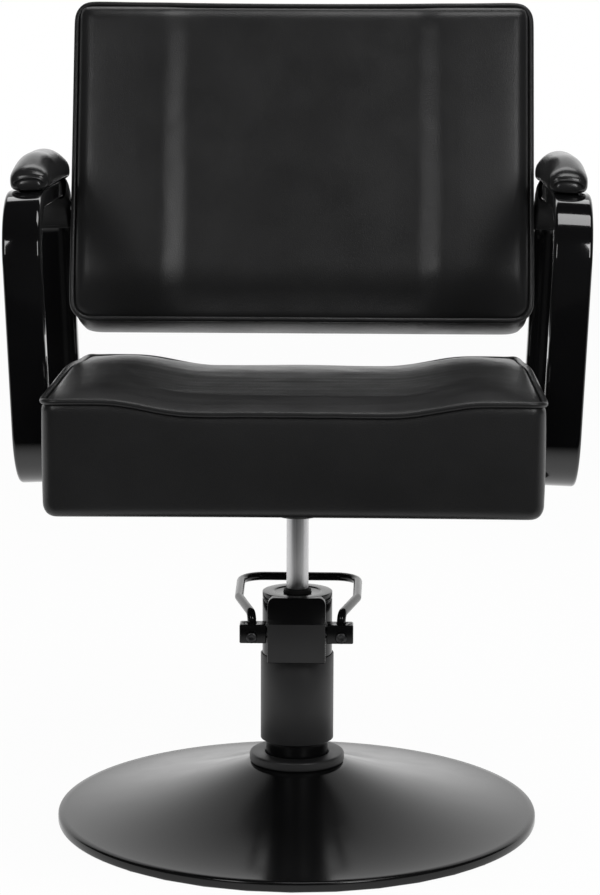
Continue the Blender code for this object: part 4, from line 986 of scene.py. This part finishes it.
def finish_cover(piece):
    """One subdivision and smooth shading for a finished cover."""
    apply_modifier(piece, "SUBSURF", levels=1, render_levels=1)
    bpy.ops.object.shade_smooth()


# %% [markdown]
# ### Piping
# A cord in a strip of leatherette is sewn between two panels, so it always lies on the cover, half sunk.
# Its line is drawn where the seam should run, laid on the blown-up cover, and the cover is then drawn in
# beside it, which gives the dark crease along a sewn cord.


# %% Helpers for piping
def pulled_in(x, y, half_x, half_y, pull):
    """How far a long edge draws in between its corners."""
    nearness = soft_step((abs(y) / half_y - 0.6) / 0.4)
    return -math.copysign(pull, y) * (1 - min(abs(x) / half_x, 1) ** 2) * nearness


def seam_line(half_x, half_y, corner):
    """Closed line of small steps round a panel with round corners."""
    corners = [(-half_x, -half_y, 0), (half_x, -half_y, 0), (half_x, half_y, 0), (-half_x, half_y, 0)]
    outline = rounded_path(corners, [corner] * 4, 12, closed=True)
    points = []
    for index, point in enumerate(outline):
        following = outline[(index + 1) % len(outline)]
        pieces = max(1, round((following - point).length / (5 * MM)))
        points += [point.lerp(following, k / pieces) for k in range(pieces)]
    return points


def lay_on(cover, line, proud):
    """Move a line onto a cover, proud of it by a little, and calm its small steps."""
    tree = bvhtree.BVHTree.FromPolygons([vertex.co for vertex in cover.data.vertices],
                                        [face.vertices for face in cover.data.polygons])
    laid = []
    for point in line:
        spot, away = tree.find_nearest(point)[:2]
        laid.append(spot + away * proud)
    for turn in range(4):
        count = len(laid)
        laid = [(laid[k - 1] + laid[k] * 2 + laid[(k + 1) % count]) / 4 for k in range(count)]
    return laid


def crease(cover, line, depth, width):
    """Draw a cover in along both sides of a sewn line."""
    tree = kdtree.KDTree(len(line))
    for index, point in enumerate(line):
        tree.insert(point, index)
    tree.balance()
    inward = [vertex.normal.copy() for vertex in cover.data.vertices]
    for vertex, normal in zip(cover.data.vertices, inward):
        far = tree.find(vertex.co)[2]
        vertex.co -= normal * depth * math.exp(-(far / width) ** 2)


piping_radius = 3.1 * MM
print("piping:", 2 * piping_radius / MM, "mm thick")

# %% [markdown]
# ### Seat
# The seat is a box cushion: a top panel that sinks in the middle and falls to the rear, a plain band round
# the sides, and piping sewn between them. The front edge dips with the sunken middle.

# %% Seat cushion
seat_low, seat_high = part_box("seat_cushion")
seat_middle = (seat_low.y + seat_high.y) / 2
seat_half_x = seat_high.x
seat_half_y = (seat_high.y - seat_low.y) / 2
seat_edge = 497 * MM
seat_hollow, seat_fall, seat_crown = 12 * MM, 14 * MM, 8 * MM
seat_pull, seat_belly = 4 * MM, 3 * MM
swell = 2.5 * MM


def seat_line(x, y):
    """Height of the piping line above or below the corners: sunken in the middle, lower at the rear."""
    run = (y - seat_middle) / seat_half_y
    return -seat_hollow * sunken(x) - seat_fall * soft_step(run)


cushion = foam_block((-seat_half_x, seat_low.y, seat_low.z), (seat_half_x, seat_high.y, seat_edge),
                     corner=14 * MM, foot=11 * MM, seam=3 * MM, square=7 * MM)
settle(cushion, 1)
for vertex in cushion.data.vertices:
    x, y, z = vertex.co
    along = y - seat_middle
    crown = slope(seat_half_x - abs(x), 60 * MM) * slope(seat_half_y - abs(along), 60 * MM)
    lift = soft_step((z - seat_low.z - 30 * MM) / (seat_edge - seat_low.z - 36 * MM))
    on_top = 1 if z > seat_edge - 5 * MM else 0
    vertex.co.z += lift * seat_line(x, y) + on_top * (seat_crown - swell) * crown
    vertex.co.y += pulled_in(x, along, seat_half_x, seat_half_y, seat_pull)
    if along < 0:
        belly = slope(z - seat_low.z, 50 * MM) * slope(seat_edge - z, 50 * MM)
        belly *= slope(seat_half_x - abs(x), 90 * MM)
        vertex.co.y -= seat_belly * belly * soft_step(-along / seat_half_y * 4 - 3)


def seat_held(point):
    """1 along the piping and under the seat, 0 on the free panels."""
    edge = min(seat_half_x - abs(point.x), seat_half_y - abs(point.y - seat_middle))
    rim = abs(point.z - seat_edge - seat_line(point.x, point.y))
    return 1.0 if point.z < seat_low.z + 12 * MM or (edge < 7 * MM and rim < 8 * MM) else 0.0


blow_up(cushion, seat_held, swell)
for vertex in cushion.data.vertices:
    vertex.co.x = min(max(vertex.co.x, -seat_half_x - 2 * MM), seat_half_x + 2 * MM)
finish_cover(cushion)

# %% [markdown]
# A sat-on vinyl panel shows faint ripples across it. They are a fraction of a millimetre high, and show
# only because the seat is seen at a low angle.

# %% Seat ripples and piping
on_top = [vertex.normal.z > 0.8 for vertex in cushion.data.vertices]
for vertex, rippled in zip(cushion.data.vertices, on_top):
    x, y, z = vertex.co
    if rippled:
        ripple = noise.noise((x * 5, y * 75, 0.3)) + 0.5 * noise.noise((x * 9, y * 140, 4.7))
        vertex.co.z += 0.22 * MM * ripple * sunken(abs(x) * 0.8)
line = []
for point in seam_line(seat_half_x, seat_half_y, 15 * MM):
    y = point.y + seat_middle + pulled_in(point.x, point.y, seat_half_x, seat_half_y, seat_pull)
    line.append(Vector((point.x, y, seat_edge + seat_line(point.x, y))))
line = lay_on(cushion, line, 1.2 * MM)
crease(cushion, line, 2.4 * MM, 5 * MM)
piping = cord_along(line, piping_radius, True)
hand_over(piping, "seat_piping", leatherette, "seat", "leatherette", "seat_welt")
hand_over(cushion, "seat_pad", leatherette, "seat", "leatherette", "seat_cushion")

# %% [markdown]
# ### Back
# The back leans by sixteen degrees. It is modelled lying down in its own plane, front panel up, with two
# raised wings and a sunken middle, and then stood up in its place. Piping runs round the front and the
# rear of its side band, and a thin padded panel closes the rear.

# %% Back cushion
back_half_x = 259.8 * MM
back_half_y = 184 * MM
back_thick = 70 * MM
back_taper = 4 * MM
recline = math.radians(16)
stand_up = (Matrix.Translation((0, 142 * MM, 532 * MM)) @ Matrix.Rotation(-recline, 4, "X")
            @ Matrix.Translation((0, 0, back_half_y)) @ Matrix.Rotation(math.pi / 2, 4, "X"))


def place_back(piece):
    """Stand a piece of the back up in the chair."""
    select_only(piece)
    piece.matrix_world = stand_up
    bpy.ops.object.transform_apply(location=True, rotation=True)


def wing_step(x, y):
    """Depth of the sunken middle of the back: a broad hollow with a soft, wavy step on either side."""
    side = math.copysign(3, x)
    wave = 2.5 * MM * noise.noise((side, y * 13, 0.2)) + 1 * MM * noise.noise((side, y * 45, 1.2))
    depth = 3.6 * MM + 1.8 * MM * soft_step(0.5 - y / (2 * back_half_y))
    step = soft_step((161 * MM + wave - abs(x)) / (33 * MM))
    crinkle = 0.9 * MM * step * (1 - step) * noise.noise((x * 45, y * 62, 2.6))
    return 2.5 * MM * sunken(x) + depth * step + crinkle


back_swell = 2 * MM
back_crown = 14.5 * MM
back_pull, back_sag, band_hollow = 3 * MM, 3 * MM, 14 * MM
cushion = foam_block((-back_half_x, -back_half_y, -back_thick), (back_half_x, back_half_y, 0),
                     corner=19 * MM, foot=3 * MM, seam=3 * MM, square=7 * MM)
settle(cushion, 1)
for vertex in cushion.data.vertices:
    x, y, z = vertex.co
    depth = min(max(-z / back_thick, 0), 1)
    vertex.co.x -= math.copysign(back_taper, x) * depth * min(abs(x) / back_half_x, 1)
    if y > 0:
        drawn = pulled_in(x, y, back_half_x, back_half_y, back_pull)
        vertex.co.y += drawn - back_taper * depth * y / back_half_y
    else:
        sag = back_sag * (1 - 2 * depth) - band_hollow * depth * (1 - depth)
        vertex.co.y += sag * soft_step(-y / back_half_y * 4 - 3)


def back_held(point):
    """1 along both pipings and on the rear, 0 on the free panels."""
    edge = min(back_half_x - abs(point.x), back_half_y - abs(point.y))
    return 1.0 if point.z < -back_thick + 9 * MM or (edge < 8 * MM and abs(point.z) < 8 * MM) else 0.0


blow_up(cushion, back_held, back_swell)
for vertex in cushion.data.vertices:
    vertex.co.x = min(max(vertex.co.x, -back_half_x - 0.8 * MM), back_half_x + 0.8 * MM)
finish_cover(cushion)

# %% [markdown]
# The front panel stands on a crown of foam that rolls over tightly at the piping and slopes off below. Its
# middle is quilted down between two upright seams, which leaves a soft step beside each wing. Both are
# given after the blowing, so the roll stays tight and the steps stay straight.

# %% Back steps and piping
for vertex in cushion.data.vertices:
    x, y, z = vertex.co
    if z > -1.5 * MM:
        rise = roll(back_half_x - 3 * MM - abs(x), 16 * MM) * roll(back_half_y - 4 * MM - y, 16 * MM)
        above = y + back_half_y - 7 * MM
        vertex.co.z += rise * (back_crown * slope(above, 60 * MM) - wing_step(x, y) * slope(above, 30 * MM))
settle(cushion, 2)
for name, node, inset, level in (("back_piping_front", "back_front_welt", 0, 0),
                                 ("back_piping_rear", "back_rear_welt", 2 * MM, -back_thick)):
    outline = seam_line(back_half_x - inset, back_half_y - inset, 22 * MM)
    line = lay_on(cushion, [Vector((p.x, p.y, level)) for p in outline], 1.4 * MM)
    crease(cushion, line, 1.6 * MM, 5 * MM)
    piping = cord_along(line, piping_radius, True)
    place_back(piping)
    hand_over(piping, name, leatherette, "seat", "leatherette", node)
place_back(cushion)
hand_over(cushion, "back_pad", leatherette, "seat", "leatherette", "back_cushion")

# %% [markdown]
# The rear of the back is closed by a thin padded panel. It is stiff board under the cover, so it isn't blown
# up: a low crown and faint ripples are enough. It is made lying on its face and then turned over.

# %% Rear panel of the back
panel_half_x = back_half_x - 9 * MM
panel_half_y = back_half_y - 9 * MM
panel_low = back_thick + 0.3 * MM
panel_high = panel_low + 6 * MM
panel_rim = 5 * MM
panel = foam_block((-panel_half_x, -panel_half_y, panel_low), (panel_half_x, panel_half_y, panel_high),
                   corner=22 * MM, foot=1 * MM, seam=2 * MM, square=5 * MM)
settle(panel, 1)
for vertex in panel.data.vertices:
    x, y, z = vertex.co
    if z > panel_low + 3 * MM:
        crown = slope(panel_half_x - abs(x) - panel_rim, 70 * MM)
        crown *= slope(panel_half_y - abs(y) - panel_rim, 70 * MM)
        ripple = noise.noise((x * 9, y * 9, 0.5)) + 0.4 * noise.noise((x * 24, y * 20, 2.5))
        vertex.co.z += crown * (3 * MM + 0.6 * MM * ripple)
finish_cover(panel)
panel.data.transform(Matrix.Rotation(math.pi, 4, "X"))
place_back(panel)
hand_over(panel, "back_panel", leatherette, "seat", "leatherette", "back_rear_panel")

# %% [markdown]
# ### Arm pads
# The pads are narrow and plump, highest near the middle, and their ends follow the tube where it bends down.
# Their cover is pulled tight round the strip under them, which smooths its grain, and a seam crosses each
# front end in an arch, above a small end panel.

# %% Arm pads
tight, tree, shader = new_finish("stretched_leatherette")
tint(tree, grain(tree, 14), (0.0115, 0.0115, 0.0118), (0.015, 0.015, 0.0154), shader)
spread(tree, grain(tree, 40), 0.17, 0.24, shader.inputs["Roughness"])
relief(tree, grain(tree, 780, kind="ShaderNodeTexVoronoi"), 0.0002, 0.2, shader)
pad_half = 23.5 * MM
pad_front, pad_rear = -46 * MM, 179 * MM
pad_low = 303.6 * MM
pad_middle = (pad_front + pad_rear) / 2
pad_run = (pad_rear - pad_front) / 2
pad_thick = 24 * MM
strip_half = 16 * MM
strip_run = pad_run - 19 * MM
nose_height, pad_rise, skirt_drop = 17 * MM, 17 * MM, 2.8 * MM


def pad_held(point):
    """1 under the pad, 0 on its top and sides."""
    return 1.0 if point.z < pad_low + 5 * MM else 0.0


def pad_height(y):
    """Height of the pad along its length: it rises from a low nose, and falls again at the rear."""
    return nose_height + pad_rise * slope(y + pad_run, 78 * MM) * slope(pad_run - y, 90 * MM)


def tube_drop(y):
    """How far the top of the tube falls below its straight run, where it bends down at either end."""
    radius = top_bend + tube_depth / 2
    past = max(arm_front + top_bend - y, y - arm_rear + top_bend, 0)
    return radius - math.sqrt(radius ** 2 - past ** 2)


for label, side in sides:
    pad = foam_block((-pad_half + 1.5 * MM, -pad_run + 1.5 * MM, pad_low),
                     (pad_half - 1.5 * MM, pad_run - 1.5 * MM, pad_low + pad_thick),
                     corner=15 * MM, foot=5 * MM, seam=10 * MM, square=3 * MM)
    settle(pad, 10)
    for vertex in pad.data.vertices:
        x, y, z = vertex.co
        share = (z - pad_low) / pad_thick
        vertex.co.z = pad_low + share * pad_height(y) * (1 - 0.3 * share * (x / pad_half) ** 2)
    settle(pad, 4)
    blow_up(pad, pad_held, 2 * MM)
    settle(pad, 5)
    for vertex in pad.data.vertices:
        x, y, z = vertex.co
        outside = max((abs(x) - strip_half) / (4 * MM), (abs(y) - strip_run) / (6 * MM))
        low = 1 - soft_step((z - pad_low) / (14 * MM))
        vertex.co.z -= skirt_drop * soft_step(outside) * low + tube_drop(y + pad_middle)
    finish_cover(pad)
    seam = []
    for step in range(81):
        x = pad_half * (step / 40 - 1)
        seam.append(Vector((x, -pad_run, pad_low + 11 * MM - 10 * MM * abs(x / pad_half) ** 3)))
    seam = lay_on(pad, seam, 0)[6:-6]
    crease(pad, seam, 1 * MM, 3 * MM)
    stitch = cord_along(seam, 1 * MM, False)
    place = arm_plane(side) @ Matrix.Translation((side * pad_offset, pad_middle, 0))
    for piece in (stitch, pad):
        piece.data.transform(place)
    hand_over(stitch, f"armrest_seam_{label}", tight, "seat", "leatherette")
    hand_over(pad, f"armrest_{label}", tight, "seat", "leatherette", f"arm_pad_{label}")

# %% [markdown]
# Behind each pad a leatherette sleeve wraps the tube round the rear bend, and ends in a turned hem. It is
# the arm's own section, a little larger, spun along the same bend, with small folds along it. Its leatherette
# is duller than the cushions', and darker: the darker colour is painted shade, for the shadow under the pad.

# %% Arm sleeves
# Painted shade: this leatherette is coloured darker than the cushions' to stand in for the shadow on the sleeve.
dull_and_painted_shade, tree, shader = new_finish("dull_painted_shade_leatherette")
tint(tree, grain(tree, 14), (0.005, 0.005, 0.0052), (0.008, 0.008, 0.0083), shader)
spread(tree, grain(tree, 40), 0.4, 0.5, shader.inputs["Roughness"])
shader.inputs["Specular IOR Level"].default_value = 0.2
relief(tree, grain(tree, 780, kind="ShaderNodeTexVoronoi"), 0.0002, 0.2, shader)
bend_y, bend_z = arm_rear - top_bend, arm_top - top_bend
sleeve_turn = math.radians(68)
sleeve_more = 4.4 * MM
hem_y = bend_y + top_bend * math.sin(sleeve_turn)
hem_z = bend_z + top_bend * math.cos(sleeve_turn)
for label, side in sides:
    middle = side * tube_width / 2
    sleeve = tube_end(tube_width + sleeve_more, tube_depth + sleeve_more, 6 * MM, (middle, bend_y, arm_top))
    bend(bend_y, bend_z, sleeve_turn, 14)
    for size, turn in ((1.06, 1), (1, 2.5), (0.94, 1), (0.92, -3)):
        bpy.ops.mesh.extrude_edges_move()
        bpy.ops.transform.resize(value=(size, size, size), center_override=(middle, hem_y, hem_z))
        bpy.ops.transform.rotate(value=math.radians(turn), orient_axis="X",
                                 center_override=(0, bend_y, bend_z))
    even_out_normals()
    bpy.ops.mesh.subdivide(number_cuts=3)
    bpy.ops.object.mode_set(mode="OBJECT")
    away = [vertex.normal.copy() for vertex in sleeve.data.vertices]
    for vertex, normal in zip(sleeve.data.vertices, away):
        x, y, z = vertex.co
        fold = noise.noise((x * 95, y * 25, z * 25 + side)) + 0.5 * noise.noise((x * 170, y * 60, z * 60))
        vertex.co += normal * 1.4 * MM * fold
    finish_cover(sleeve)
    sleeve.matrix_world = arm_plane(side)
    bpy.ops.object.transform_apply(location=True, rotation=True)
    hand_over(sleeve, f"arm_sleeve_{label}", dull_and_painted_shade, "seat", "leatherette")

# %% [markdown]
# ## Measure
# The size of the dressed chair is measured and printed; only a little standing cloth is meant to reach past the
# engineering model.

# %% Measure
dressed_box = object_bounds()
for name, low, high in zip("xyz", *dressed_box):
    print(name, round(low, 4), round(high, 4))
